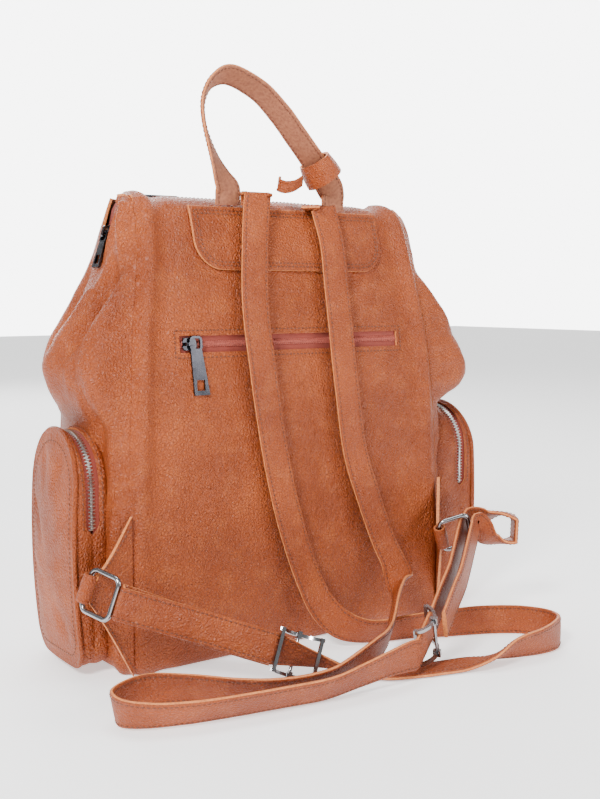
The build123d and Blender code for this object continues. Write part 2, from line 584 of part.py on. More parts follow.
# ---- handle ---------------------------------------------------------------------------------
def handle():
    """Loop of single leather; it turns edge-on between its two flat roots."""
    left, right = HANDLE_ROOTS
    foot = HANDLE_SPLIT + 1.5
    path = [station(left, ROOT_Y, foot, (-1, 0, 0)), station(left - 0.3, -37.8, foot + 4, (-1, -0.05, 0)),
            station(-53.5, -38, 351, (-0.92, -0.4, 0)), station(-60.5, -38, 366, (-0.7, -0.7, 0)),
            station(-68.1, -38, 386.2, (-0.55, -0.83, 0)), station(-69.2, -38, 403.6, (-0.53, -0.85, 0.05)),
            station(-61.1, -38, 418.5, (-0.5, -0.85, 0.2)), station(-45.8, -38, 424.4, (-0.45, -0.75, 0.45)),
            station(-20.6, -38, 415, (-0.2, -0.8, 0.5)), station(-1.7, -38, 400.1, (-0.05, -0.83, 0.54)),
            station(12.2, -38, 385.7, (0.05, -0.85, 0.5)), station(25.4, -38, 371.7, (0.2, -0.9, 0.4)),
            station(36.5, -38, 359.5, (0.5, -0.85, 0.3)), station(45, -38, 348.5, (0.85, -0.45, 0.2)),
            station(right, -37.8, foot + 3.5, (1, -0.1, 0)), station(right, ROOT_Y, foot, (1, 0, 0))]
    return ribbon(smooth(path), HANDLE_WIDTH, HANDLE)


def handle_ends():
    """The handle's two sewn ends, between the yoke's top edge and the bend."""
    ends = []
    for x in HANDLE_ROOTS:
        line = [station(x, ROOT_Y, 330.5, (1, 0, 0)), station(x, ROOT_Y, HANDLE_SPLIT - 1.5, (1, 0, 0))]
        ends.append(ribbon(line, HANDLE_WIDTH, HANDLE))
    return Compound(children=ends)


def handle_knot():
    """The strap's cone-shaped wrap round its own right leg, and its short tail."""
    leg = Vector(0.6, 0, -0.8)
    deep = Vector(0, 1, 0)
    wide = leg.cross(deep)
    centre = Vector(36, -38, 360.5)
    steps = 20
    grids = []
    for grow in (0.9, -0.9):
        top, bottom = [], []
        for k in range(steps + 1):
            angle = 2 * math.pi * (k % steps) / steps
            ellipse = [wide * (a * math.cos(angle)) + deep * (14.2 * math.sin(angle)) for a in (10.0, 13.5)]
            out = ellipse[1].normalized()
            top.append(centre - leg * 9.5 + ellipse[0] + out * grow)
            bottom.append(centre + leg * 8.5 + ellipse[1] + out * grow)
        grids.append([top, bottom])
    (top_out, low_out), (top_in, low_in) = grids
    faces = []
    for i in range(steps):
        faces += quad(top_out[i], low_out[i], low_out[i + 1], top_out[i + 1])
        faces += quad(top_in[i], top_in[i + 1], low_in[i + 1], low_in[i])
        faces += quad(top_out[i], top_out[i + 1], top_in[i + 1], top_in[i])
        faces += quad(low_out[i + 1], low_out[i], low_in[i], low_in[i + 1])
    band = Solid(Shell(faces))
    band = band if band.volume > 0 else -band
    tail = [station(15, -43, 351, (0.1, -0.4, 0.9)), station(7, -44.5, 347, (0.1, -0.4, 0.9)),
            station(-1, -44.5, 345.5, (0.1, -0.3, 0.95)), station(-4.5, -41.5, 347, (0.1, -0.1, 1)),
            station(-2, -38.5, 350, (0.1, 0, 1))]
    return Compound(children=[band, ribbon(smooth(tail), 9, 2.0)])


def main():
    slot = extrude(back_plane(0, BACK_SLOT_Z) * Rectangle(*BACK_SLOT), amount=8, both=True)
    save("back_panel", panel(-1) - slot)
    save("front_panel", panel(1))
    save("left_gusset", gusset(-1))
    save("right_gusset", gusset(1))
    save("base_panel", plate(0, LEATHER + 0.15, 0, 2.0))
    save("base_board", plate(10, 10, 3.0, 5.0))
    save("lining", lining())
    save("back_yoke", yoke())
    save("back_pouch", pouch())
    for piece, shape in back_zip().items():
        save(f"back_zip_{piece}", shape)
    for piece, shape in main_zip().items():
        save(f"main_zip_{piece}", shape)
    for name, side in (("left", -1), ("right", 1)):
        for piece, shape in pocket(side).items():
            save(f"{name}_pocket_{piece}", shape)
    for name, corner in (("left", LEFT), ("right", RIGHT)):
        save(f"{name}_tab", corner.tab())
        save(f"{name}_ring", corner.ring())
        save(f"{name}_adjuster", corner.adjuster())
        save(f"{name}_adjuster_bar", corner.adjuster_bar())
    save("left_strap", ribbon(left_strap(), STRAP_WIDTH, STRAP))
    save("right_strap", ribbon(right_strap(), STRAP_WIDTH, STRAP))
    save("handle", handle())
    save("handle_ends", handle_ends())
    save("handle_knot", handle_knot())


main()
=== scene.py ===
import math
import bpy
import numpy as np
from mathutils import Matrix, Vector, noise


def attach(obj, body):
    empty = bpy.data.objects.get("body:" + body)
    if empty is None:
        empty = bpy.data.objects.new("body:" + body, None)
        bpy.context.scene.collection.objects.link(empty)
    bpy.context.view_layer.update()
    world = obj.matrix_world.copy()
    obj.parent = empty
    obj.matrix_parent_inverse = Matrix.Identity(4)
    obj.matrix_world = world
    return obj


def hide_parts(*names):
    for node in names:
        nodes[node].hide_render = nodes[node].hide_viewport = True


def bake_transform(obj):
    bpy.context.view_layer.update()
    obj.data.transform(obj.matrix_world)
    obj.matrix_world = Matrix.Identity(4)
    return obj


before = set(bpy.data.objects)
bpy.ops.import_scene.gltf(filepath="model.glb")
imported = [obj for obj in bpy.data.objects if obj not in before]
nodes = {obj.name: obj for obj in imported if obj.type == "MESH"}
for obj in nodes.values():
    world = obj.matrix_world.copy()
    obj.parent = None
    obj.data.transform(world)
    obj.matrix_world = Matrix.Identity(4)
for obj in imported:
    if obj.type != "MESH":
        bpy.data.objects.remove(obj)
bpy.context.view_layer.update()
MM = 0.001


# ---- materials ------------------------------------------------------------------------------
def material(name):
    mat = bpy.data.materials.new(name)
    mat.use_nodes = True
    tree = mat.node_tree
    shader = tree.nodes["Principled BSDF"]
    coords = tree.nodes.new("ShaderNodeTexCoord").outputs["Object"]
    return mat, tree, shader, coords


def add(tree, kind, links=(), **values):
    """Node with its inputs set; a value that is a socket is linked."""
    node = tree.nodes.new(kind)
    for key, value in values.items():
        setattr(node, key, value)
    for key, value in links:
        if isinstance(value, bpy.types.NodeSocket):
            tree.links.new(value, node.inputs[key])
        else:
            node.inputs[key].default_value = value
    return node


def cloud_of(tree, coords, scale, detail):
    """Smooth noise from 0 to 1."""
    links = [("Vector", coords), ("Scale", scale), ("Detail", detail)]
    return add(tree, "ShaderNodeTexNoise", links).outputs[0]


def raise_by(tree, shader, height, distance, strength):
    """Bump on the shader's normal; distance is in metres."""
    links = [("Height", height), ("Distance", distance), ("Strength", strength)]
    tree.links.new(add(tree, "ShaderNodeBump", links).outputs[0], shader.inputs["Normal"])


def maths(tree, operation, a, b):
    return add(tree, "ShaderNodeMath", [(0, a), (1, b)], operation=operation).outputs[0]


def ramp(tree, factor, low, high):
    """Factor stretched so that low gives 0 and high gives 1."""
    links = [("Value", factor), ("From Min", low), ("From Max", high)]
    return add(tree, "ShaderNodeMapRange", links).outputs["Result"]


def mix(tree, factor, a, b):
    node = add(tree, "ShaderNodeMix", data_type="RGBA")
    for index, value in ((0, factor), (6, a), (7, b)):
        if isinstance(value, bpy.types.NodeSocket):
            tree.links.new(value, node.inputs[index])
        else:
            node.inputs[index].default_value = value
    return node.outputs[2]


def leather(name, tone, deep, pale, cells, depth, rough):
    """Pebbled leather: rounded cells with grooves between them, cloudy colour, slight wear and painted
    shade in the grooves.

    cells is the number of cells in a metre, depth the height of the grain in metres.
    """
    mat, tree, shader, coords = material(name)
    wander = add(tree, "ShaderNodeTexNoise", [("Vector", coords), ("Scale", 180.0), ("Detail", 1.0)])
    shift = add(tree, "ShaderNodeVectorMath", [(0, wander.outputs["Color"]), ("Scale", 0.0005)],
                operation="SCALE")
    bent = add(tree, "ShaderNodeVectorMath", [(0, coords), (1, shift.outputs[0])], operation="ADD")
    edge = add(tree, "ShaderNodeTexVoronoi", [("Vector", bent.outputs[0]), ("Scale", cells)],
               feature="DISTANCE_TO_EDGE").outputs["Distance"]
    hill = ramp(tree, edge, 0.0, 0.4)
    big = add(tree, "ShaderNodeTexVoronoi", [("Vector", bent.outputs[0]), ("Scale", cells * 0.37)],
              feature="DISTANCE_TO_EDGE").outputs["Distance"]
    fold = ramp(tree, big, 0.0, 0.12)
    fine = cloud_of(tree, coords, 2600.0, 2.0)
    height = maths(tree, "ADD", maths(tree, "MULTIPLY", hill, 0.62), maths(tree, "MULTIPLY", fold, 0.3))
    height = maths(tree, "ADD", height, maths(tree, "MULTIPLY", fine, 0.08))
    raise_by(tree, shader, height, depth, 1.0)
    cloud = cloud_of(tree, coords, 16.0, 4.0)
    colour = mix(tree, ramp(tree, cloud, 0.3, 0.7), deep, tone)
    wear = cloud_of(tree, coords, 70.0, 5.0)
    colour = mix(tree, maths(tree, "MULTIPLY", ramp(tree, wear, 0.5, 0.75), 0.35), colour, pale)
    # Painted shade: the grooves between the pebble cells are darkened towards the deep tone.
    colour = mix(tree, maths(tree, "MULTIPLY", ramp(tree, hill, 0.6, 0.0), 0.62), colour, deep)
    tree.links.new(colour, shader.inputs["Base Color"])
    gloss = maths(tree, "ADD", maths(tree, "MULTIPLY", cloud, 0.14), rough - 0.07)
    tree.links.new(gloss, shader.inputs["Roughness"])
    shader.inputs["Specular IOR Level"].default_value = 0.34
    return mat


def fibre(name, tone, deep, scale, depth, rough):
    """Raw leather edge, flesh side, thread or nylon: fine noise in colour and height."""
    mat, tree, shader, coords = material(name)
    streak = cloud_of(tree, coords, scale, 5.0)
    tree.links.new(mix(tree, ramp(tree, streak, 0.3, 0.7), deep, tone), shader.inputs["Base Color"])
    raise_by(tree, shader, streak, depth, 0.7)
    shader.inputs["Roughness"].default_value = rough
    return mat


def weave(name, tone, deep, threads, depth, rough):
    """Woven cloth: two crossed waves, with cloudy colour."""
    mat, tree, shader, coords = material(name)
    across = [add(tree, "ShaderNodeTexWave", [("Vector", coords), ("Scale", threads), ("Distortion", 0.6)],
                  bands_direction=axis).outputs["Fac"] for axis in "XZ"]
    height = maths(tree, "MULTIPLY", *across)
    cloud = cloud_of(tree, coords, 60.0, 2.0)
    shade = maths(tree, "ADD", maths(tree, "MULTIPLY", height, 0.5), maths(tree, "MULTIPLY", cloud, 0.6))
    tree.links.new(mix(tree, shade, deep, tone), shader.inputs["Base Color"])
    raise_by(tree, shader, height, depth, 0.6)
    shader.inputs["Roughness"].default_value = rough
    shader.inputs["Sheen Weight"].default_value = 0.15
    return mat


def metal(name, tone, dull, rough):
    """Plated metal with faint smudges and hairline scratches."""
    mat, tree, shader, coords = material(name)
    smudge = cloud_of(tree, coords, 120.0, 4.0)
    tree.links.new(mix(tree, smudge, dull, tone), shader.inputs["Base Color"])
    gloss = maths(tree, "ADD", maths(tree, "MULTIPLY", smudge, 0.16), rough - 0.06)
    tree.links.new(gloss, shader.inputs["Roughness"])
    raise_by(tree, shader, cloud_of(tree, coords, 400.0, 3.0), 0.00003, 0.4)
    shader.inputs["Metallic"].default_value = 1.0
    return mat


TAN = leather("tan_leather", (0.39, 0.08, 0.015, 1), (0.2, 0.034, 0.005, 1), (0.54, 0.14, 0.034, 1),
              cells=430.0, depth=0.0011, rough=0.48)
SMOOTH_TAN = leather("strap_leather", (0.4, 0.082, 0.016, 1), (0.21, 0.036, 0.006, 1),
                     (0.56, 0.15, 0.038, 1), cells=480.0, depth=0.0009, rough=0.46)
EDGE = fibre("raw_edge", (0.72, 0.25, 0.075, 1), (0.45, 0.13, 0.035, 1), 700.0, 0.00015, 0.7)
FLESH = fibre("flesh_side", (0.36, 0.13, 0.06, 1), (0.22, 0.07, 0.035, 1), 500.0, 0.0003, 0.85)
THREAD = fibre("thread", (0.17, 0.04, 0.011, 1), (0.08, 0.017, 0.005, 1), 1800.0, 0.0001, 0.55)
TAPE_CLOTH = weave("zip_tape_cloth", (0.34, 0.045, 0.022, 1), (0.14, 0.018, 0.01, 1), 620.0, 0.00018, 0.8)
COIL_NYLON = fibre("coil_nylon", (0.42, 0.085, 0.055, 1), (0.16, 0.025, 0.016, 1), 900.0, 0.00008, 0.45)
TOP_COIL = fibre("top_coil", (0.3, 0.1, 0.07, 1), (0.16, 0.05, 0.035, 1), 900.0, 0.00008, 0.45)
LINING_CLOTH = weave("lining_cloth", (0.2, 0.12, 0.08, 1), (0.08, 0.045, 0.03, 1), 900.0, 0.0001, 0.85)
BOARD = fibre("board", (0.1, 0.08, 0.06, 1), (0.05, 0.04, 0.03, 1), 300.0, 0.0002, 0.8)
NICKEL = metal("polished_nickel", (0.42, 0.41, 0.42, 1), (0.2, 0.2, 0.21, 1), 0.18)
DARK_NICKEL = metal("dark_nickel", (0.13, 0.13, 0.15, 1), (0.05, 0.05, 0.06, 1), 0.2)
TEETH = metal("pale_teeth", (0.72, 0.7, 0.67, 1), (0.5, 0.48, 0.45, 1), 0.28)


# ---- meshes, in millimetres -------------------------------------------------------------------
def piece(name, points, faces, materials, nodes_replaced=(), body="bag", indices=None, sharp=55.0):
    """Mesh object in the row frame that rides on a body and stands for CAD nodes."""
    mesh = bpy.data.meshes.new(name)
    mesh.from_pydata((np.asarray(points, float) * MM).tolist(), [], faces)
    for one in materials:
        mesh.materials.append(one)
    if indices is not None:
        mesh.polygons.foreach_set("material_index", indices)
    mesh.polygons.foreach_set("use_smooth", [True] * len(mesh.polygons))
    mesh.set_sharp_from_angle(angle=math.radians(sharp))
    obj = bpy.data.objects.new(name, mesh)
    bpy.context.collection.objects.link(obj)
    if body:
        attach(obj, body)
    if nodes_replaced:
        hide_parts(*nodes_replaced)
    return obj


class Build:
    """Points and faces that are collected into one piece."""

    def __init__(self):
        self.points, self.faces, self.indices, self.count = [], [], [], 0

    def grid(self, rows, wrap=False, index=0, skip=None, flip=False, column_index=None):
        """rows: array rows x columns x 3. wrap joins the last column to the first."""
        rows = np.asarray(rows, float)
        high, wide = rows.shape[:2]
        base = self.count
        self.points.append(rows.reshape(-1, 3))
        self.count += high * wide
        for i in range(high - 1):
            for j in range(wide if wrap else wide - 1):
                if skip is not None and skip[i][j]:
                    continue
                k = (j + 1) % wide
                face = (base + i * wide + j, base + i * wide + k, base + (i + 1) * wide + k,
                        base + (i + 1) * wide + j)
                self.faces.append(face[::-1] if flip else face)
                self.indices.append(index if column_index is None else column_index[j])
        return base

    def face(self, corners, index=0):
        self.faces.append(tuple(corners))
        self.indices.append(index)

    def cap(self, base, count, flip=False, index=0):
        """One face over a ring of points that starts at base."""
        ring = range(base, base + count)
        self.face(ring[::-1] if flip else ring, index)

    def done(self, name, materials, nodes_replaced=(), body="bag", sharp=55.0):
        return piece(name, np.concatenate(self.points), self.faces, materials, nodes_replaced, body,
                     self.indices, sharp)


def normals(rows, wrap=False):
    """Unit normals of a grid of points."""
    along = np.gradient(rows, axis=0)
    if wrap:
        across = (np.roll(rows, -1, axis=1) - np.roll(rows, 1, axis=1)) / 2
    else:
        across = np.gradient(rows, axis=1)
    n = np.cross(across, along)
    return n / np.maximum(np.linalg.norm(n, axis=2, keepdims=True), 1e-9)


def rough_noise(rows, size, seed=0.0):
    """Smooth noise of a wavelength in millimetres, from -1 to 1, at every point of a grid."""
    flat = rows.reshape(-1, 3) / size + seed
    return np.array([noise.noise(Vector(p)) for p in flat]).reshape(rows.shape[:2])


def unit(v):
    v = np.asarray(v, float)
    return v / np.linalg.norm(v)


def run_of(path):
    """Distance along a path at each of its points."""
    return np.concatenate([[0], np.cumsum(np.linalg.norm(np.diff(path, axis=0), axis=1))])


def sample(marks, run, values):
    """Values of a path at the given distances along it."""
    return np.stack([np.interp(marks, run, values[:, k]) for k in range(3)], axis=-1)


def skin(rows, thickness, build, outward=1.0, skip=None, wrap=False):
    """Thick leather: a grid, its inner copy, and rims round its border and round skipped cells."""
    n = normals(rows, wrap) * outward
    inner = rows - n * thickness
    high, wide = rows.shape[:2]
    a = build.grid(rows, wrap, 0, skip, flip=outward < 0)
    b = build.grid(inner, wrap, 1, skip, flip=outward > 0)

    def open_cell(i, j):
        inside = 0 <= i < high - 1 and (wrap or 0 <= j < wide - 1)
        return not inside or (skip is not None and bool(skip[i][j % wide]))

    for i in range(high - 1):
        for j in range(wide if wrap else wide - 1):
            if open_cell(i, j):
                continue
            k = (j + 1) % wide
            for di, dj, p, q in ((-1, 0, (i, j), (i, k)), (1, 0, (i + 1, k), (i + 1, j)),
                                 (0, -1, (i + 1, j), (i, j)), (0, 1, (i, k), (i + 1, k))):
                if open_cell(i + di, j + dj):
                    p, q = p[0] * wide + p[1], q[0] * wide + q[1]
                    face = (a + q, a + p, b + p, b + q)
                    build.face(face if outward > 0 else face[::-1], 2)


def stitch_row(build, path, out, pitch=3.4, length=2.6, radius=0.5, sunk=0.12):
    """Row of stitches along a path; out are the surface normals there."""
    path, out = np.asarray(path, float), np.asarray(out, float)
    run = run_of(path)
    count = max(1, int(run[-1] / pitch))
    marks = (np.arange(count) + 0.5) * run[-1] / count
    stops = ((-0.5, -0.4, 0.45), (-0.3, 0.25, 0.95), (0.0, 0.4, 1.0), (0.3, 0.25, 0.95), (0.5, -0.4, 0.45))
    normal = sample(marks, run, out)
    normal /= np.linalg.norm(normal, axis=1, keepdims=True)
    tangent = sample(marks + 0.4, run, path) - sample(marks - 0.4, run, path)
    tangent /= np.maximum(np.linalg.norm(tangent, axis=1, keepdims=True), 1e-9)
    side = np.cross(tangent, normal)
    sides = 6
    for k in range(count):
        rings = []
        for share, rise, grow in stops:
            centre = sample(marks[k] + share * length, run, path) + normal[k] * (rise * radius - sunk)
            angle = np.arange(sides) * 2 * math.pi / sides
            ring = (np.outer(np.cos(angle), side[k]) + np.outer(np.sin(angle), normal[k])) * radius * grow
            rings.append(centre + ring)
        base = build.grid(np.array(rings), wrap=True, flip=True)
        build.cap(base, sides, flip=True)
        build.cap(build.count - sides, sides)


# ---- the bag's shape --------------------------------------------------------------------------
BACK_DEPTH = [(0, 57), (3, 60), (10, 62), (60, 62), (170, 60), (262, 52), (330, 35.6), (335, 29)]
FRONT_DEPTH = [(0, 57), (3, 60), (10, 62), (60, 62), (170, 58), (200, 55), (262, 44), (297, 32),
               (330, 22.5), (335, 20)]
BACK_WIDTH = [(0, 138), (3, 142), (10, 145), (50, 145), (117, 142.5), (167, 140), (231, 135.5),
              (293, 126), (319, 123.5), (335, 122)]
FRONT_WIDTH = [(0, 138), (3, 142), (10, 145), (50, 145), (117, 143), (167, 142), (216, 138),
               (262, 124), (297, 117), (330, 109), (335, 108)]
CREST = {-1: [(0, 139), (3, 146), (10, 151), (40, 153), (172, 153), (183, 159), (192, 165),
              (200, 169.5), (216, 174), (230, 168), (262, 147), (280, 136.5), (290, 133.5),
              (300, 131.5), (322, 126), (335, 122)],
         1: [(0, 139), (3, 146), (10, 151), (40, 153), (176, 153), (184, 172), (192, 192),
             (200, 197), (216, 194), (230, 184), (262, 159), (280, 143), (290, 137.5),
             (300, 133.0), (322, 126), (335, 122)]}
SEAM_ROUND = 4.0             # how far a panel turns in at its side seams
LEATHER = 2.0                # thickness of the body leather
TOP_Z = 336.0
MOUTH = 6.0                  # half the opening that the main zip closes
ROOF_Z = 326.0               # above this the panels bend over towards the zip
MOUTH_Z = 288.0              # the zip's ends run down the gussets to here
SLOT_HALF = (100.0, 6.0)     # window of the back zip
SLOT_Z = 230.5
SHARPNESS = (6, 2.5)         # the gusset's section, towards the back and the front


def at(table, z):
    """Smooth profile: a monotone cubic through the table's points."""
    xs, ys = np.array(table, float).T
    slope = np.diff(ys) / np.diff(xs)
    tangent = np.zeros(len(xs))
    same = slope[1:] * slope[:-1] > 0
    tangent[1:-1][same] = 2 * slope[1:][same] * slope[:-1][same] / (slope[1:] + slope[:-1])[same]
    tangent[0], tangent[-1] = slope[0], slope[-1]
    z = np.clip(z, xs[0], xs[-1])
    i = np.clip(np.searchsorted(xs, z, side="right") - 1, 0, len(xs) - 2)
    h = xs[i + 1] - xs[i]
    t = (z - xs[i]) / h
    return (ys[i] * (1 + 2 * t) * (1 - t) ** 2 + h * tangent[i] * t * (1 - t) ** 2
            + ys[i + 1] * t ** 2 * (3 - 2 * t) - h * tangent[i + 1] * t ** 2 * (1 - t))


def depth(z, side):
    return at(BACK_DEPTH if side < 0 else FRONT_DEPTH, z)


def width(z, side):
    return at(BACK_WIDTH if side < 0 else FRONT_WIDTH, z)


def hill(x, centre, spread):
    return np.exp(-((x - centre) / spread) ** 2)


def crease(x, z, start, end, spread, height):
    """Fold along a line from start to end on a surface: height over it, fading past both ends."""
    p, q = np.array(start, float), np.array(end, float)
    line = q - p
    length = np.linalg.norm(line)
    line /= length
    along = (x - p[0]) * line[0] + (z - p[1]) * line[1]
    off = (x - p[0]) * -line[1] + (z - p[1]) * line[0]
    fade = 1 / (1 + np.exp(-along / (0.12 * length))) / (1 + np.exp((along - length) / (0.12 * length)))
    return height * fade * np.exp(-(off / spread) ** 2)


def panel_rows(side):
    """Back (side -1) or front (side 1) panel as a grid, with columns and rows on the zip window's edges."""
    edge = np.array([0, 1.2, 2.6, 4.2, 6.2, 8.6, 11.5, 15, 19, 24, 30, 36, 38])
    inner = SLOT_HALF[0] * np.concatenate([-np.linspace(1, 0, 34), np.linspace(0, 1, 34)[1:]])
    nominal = 138.0
    left = -nominal + edge
    columns = np.concatenate([left, inner[1:-1], -left[::-1]])
    z = np.concatenate([[0, 1.5, 3.5, 6.5, 10], np.arange(14, 224, 4.2), [221.5, SLOT_Z - SLOT_HALF[1]],
                        [SLOT_Z - 2, SLOT_Z + 2, SLOT_Z + SLOT_HALF[1], 240],
                        np.arange(244, ROOF_Z - 1, 4.2)])
    z = np.sort(z[(z < 221) | (z > 221.4)])
    grid = []
    for level in z:
        w, d = width(level, side), depth(level, side)
        size = np.abs(columns)
        x = np.sign(columns) * np.where(size <= SLOT_HALF[0], size,
                                        SLOT_HALF[0] + (size - SLOT_HALF[0]) / (nominal - SLOT_HALF[0])
                                        * (w - SLOT_HALF[0]))
        bend = SEAM_ROUND * np.maximum(0, (np.abs(x) / w - 0.93) / 0.07) ** 2
        grid.append(np.stack([x, side * (d - bend), np.full_like(x, level)], axis=1))
    # The roof: from the panel's top, over a soft edge, to the zip.
    last = grid[-1]
    for t in (0.12, 0.25, 0.4, 0.55, 0.7, 0.82, 0.92, 1.0):
        w_top = np.interp(t, [0, 1], [width(z[-1], side), width(335, side)])
        scale = w_top / width(z[-1], side)
        x = last[:, 0] * np.where(np.abs(last[:, 0]) > SLOT_HALF[0], scale, 1.0)
        y0, y1 = last[:, 1], side * (MOUTH + 0.2)
        ridge = side * (depth(333.0, side) - 2)
        y = (1 - t) ** 2 * y0 + 2 * t * (1 - t) * ridge + t ** 2 * y1
        level = (1 - t) ** 2 * z[-1] + 2 * t * (1 - t) * (TOP_Z + 1.5) + t ** 2 * (TOP_Z + 0.6)
        grid.append(np.stack([x, y, np.full_like(x, level)], axis=1))
    return np.array(grid)


def edge_fade(values, reach):
    """0 at the grid's side borders, 1 further in than reach (columns' own coordinate)."""
    low, high = values.min(axis=1, keepdims=True), values.max(axis=1, keepdims=True)
    near = np.minimum(values - low, high - values)
    t = np.clip(near / reach, 0, 1)
    return t * t * (3 - 2 * t)


def back_panel():
    rows = panel_rows(-1)
    x, z = rows[..., 0], rows[..., 2]
    n = normals(rows)
    n *= np.sign(-n[..., 1:2].mean())
    fade = edge_fade(x, 22.0) * np.clip(z / 20, 0, 1)
    lift = fade * (1.0 * rough_noise(rows, 62.0, 3.0) + 0.5 * rough_noise(rows, 24.0, 9.0))
    # Sag towards the bottom, and slack folds that run in from both side seams.
    lift += fade * 2.2 * hill(z, 45, 40)
    for side in (-1, 1):
        for z0, z1, reach, height in ((262, 225, 34, -1.1), (205, 178, 30, -0.9), (150, 138, 26, -0.8),
                                      (118, 92, 34, -1.3), (90, 60, 42, -1.6), (62, 30, 46, 1.1)):
            lift += fade * crease(x, z, (side * 140, z0), (side * (138 - reach), z1), 5.5, height)
    low_folds = crease(x, z, (-118, 40), (-60, 22), 8, -1.8) + crease(x, z, (100, 30), (40, 18), 8, -1.2)
    lift += fade * low_folds
    # Beside each side seam the leather swells, and the seam lies in a groove.
    beside = x.max(axis=1, keepdims=True) - np.abs(x)
    tall = np.clip((z - 60) / 120, 0.35, 1)
    seam_swell = tall * (3.0 * hill(beside, 9.5, 5.0) - 1.6 * hill(beside, 22, 7))
    # The window's edge is pressed flat by its stitching.
    near = np.maximum(np.abs(x) - SLOT_HALF[0], np.abs(z - SLOT_Z) - SLOT_HALF[1])
    lift -= 0.5 * hill(near, 3.6, 1.6) * (near > -0.5)
    press = np.clip(near / 14, 0, 1)
    rows = rows + n * (lift * press + seam_swell)[..., None]
    skip = (np.abs(x[:-1, :-1] + x[1:, 1:]) / 2 < SLOT_HALF[0]) & (
        np.abs((z[:-1, :-1] + z[1:, 1:]) / 2 - SLOT_Z) < SLOT_HALF[1])
    build = Build()
    outward = np.sign((normals(rows) * n).sum())
    skin(rows, LEATHER, build, outward, skip)
    build.done("back_panel_leather", [TAN, FLESH, EDGE], ["back_panel"])
    return rows


def surface(rows):
    """Function that gives the point of a grid surface nearest to (x, z)."""
    flat = rows.reshape(-1, 3)

    def find(x, z):
        distance = (flat[:, 0] - x) ** 2 + (flat[:, 2] - z) ** 2
        near = np.argsort(distance)[:4]
        weight = 1 / (distance[near] + 1e-3)
        weight /= weight.sum()
        return (flat[near] * weight[:, None]).sum(axis=0)

    return find


def front_panel():
    rows = panel_rows(1)
    x, z = rows[..., 0], rows[..., 2]
    n = normals(rows)
    n *= np.sign(n[..., 1:2].mean())
    fade = edge_fade(x, 24.0) * np.clip(z / 20, 0, 1)
    lift = fade * (1.6 * rough_noise(rows, 70.0, 13.0) + 0.6 * rough_noise(rows, 26.0, 19.0))
    lift += fade * 2.5 * hill(z, 60, 50)
    for side in (-1, 1):
        for z0, z1, reach, height in ((300, 262, 36, -1.6), (270, 225, 44, 1.4), (225, 180, 50, -1.6),
                                      (180, 150, 36, -1.0), (110, 80, 40, -1.4), (60, 25, 44, -1.3)):
            lift += fade * crease(x, z, (side * 134, z0), (side * (134 - reach), z1), 7, height)
    rows = rows + n * lift[..., None]
    build = Build()
    skin(rows, LEATHER, build, np.sign((normals(rows) * n).sum()))
    build.done("front_panel_leather", [TAN, FLESH, EDGE], ["front_panel"])
    return rows


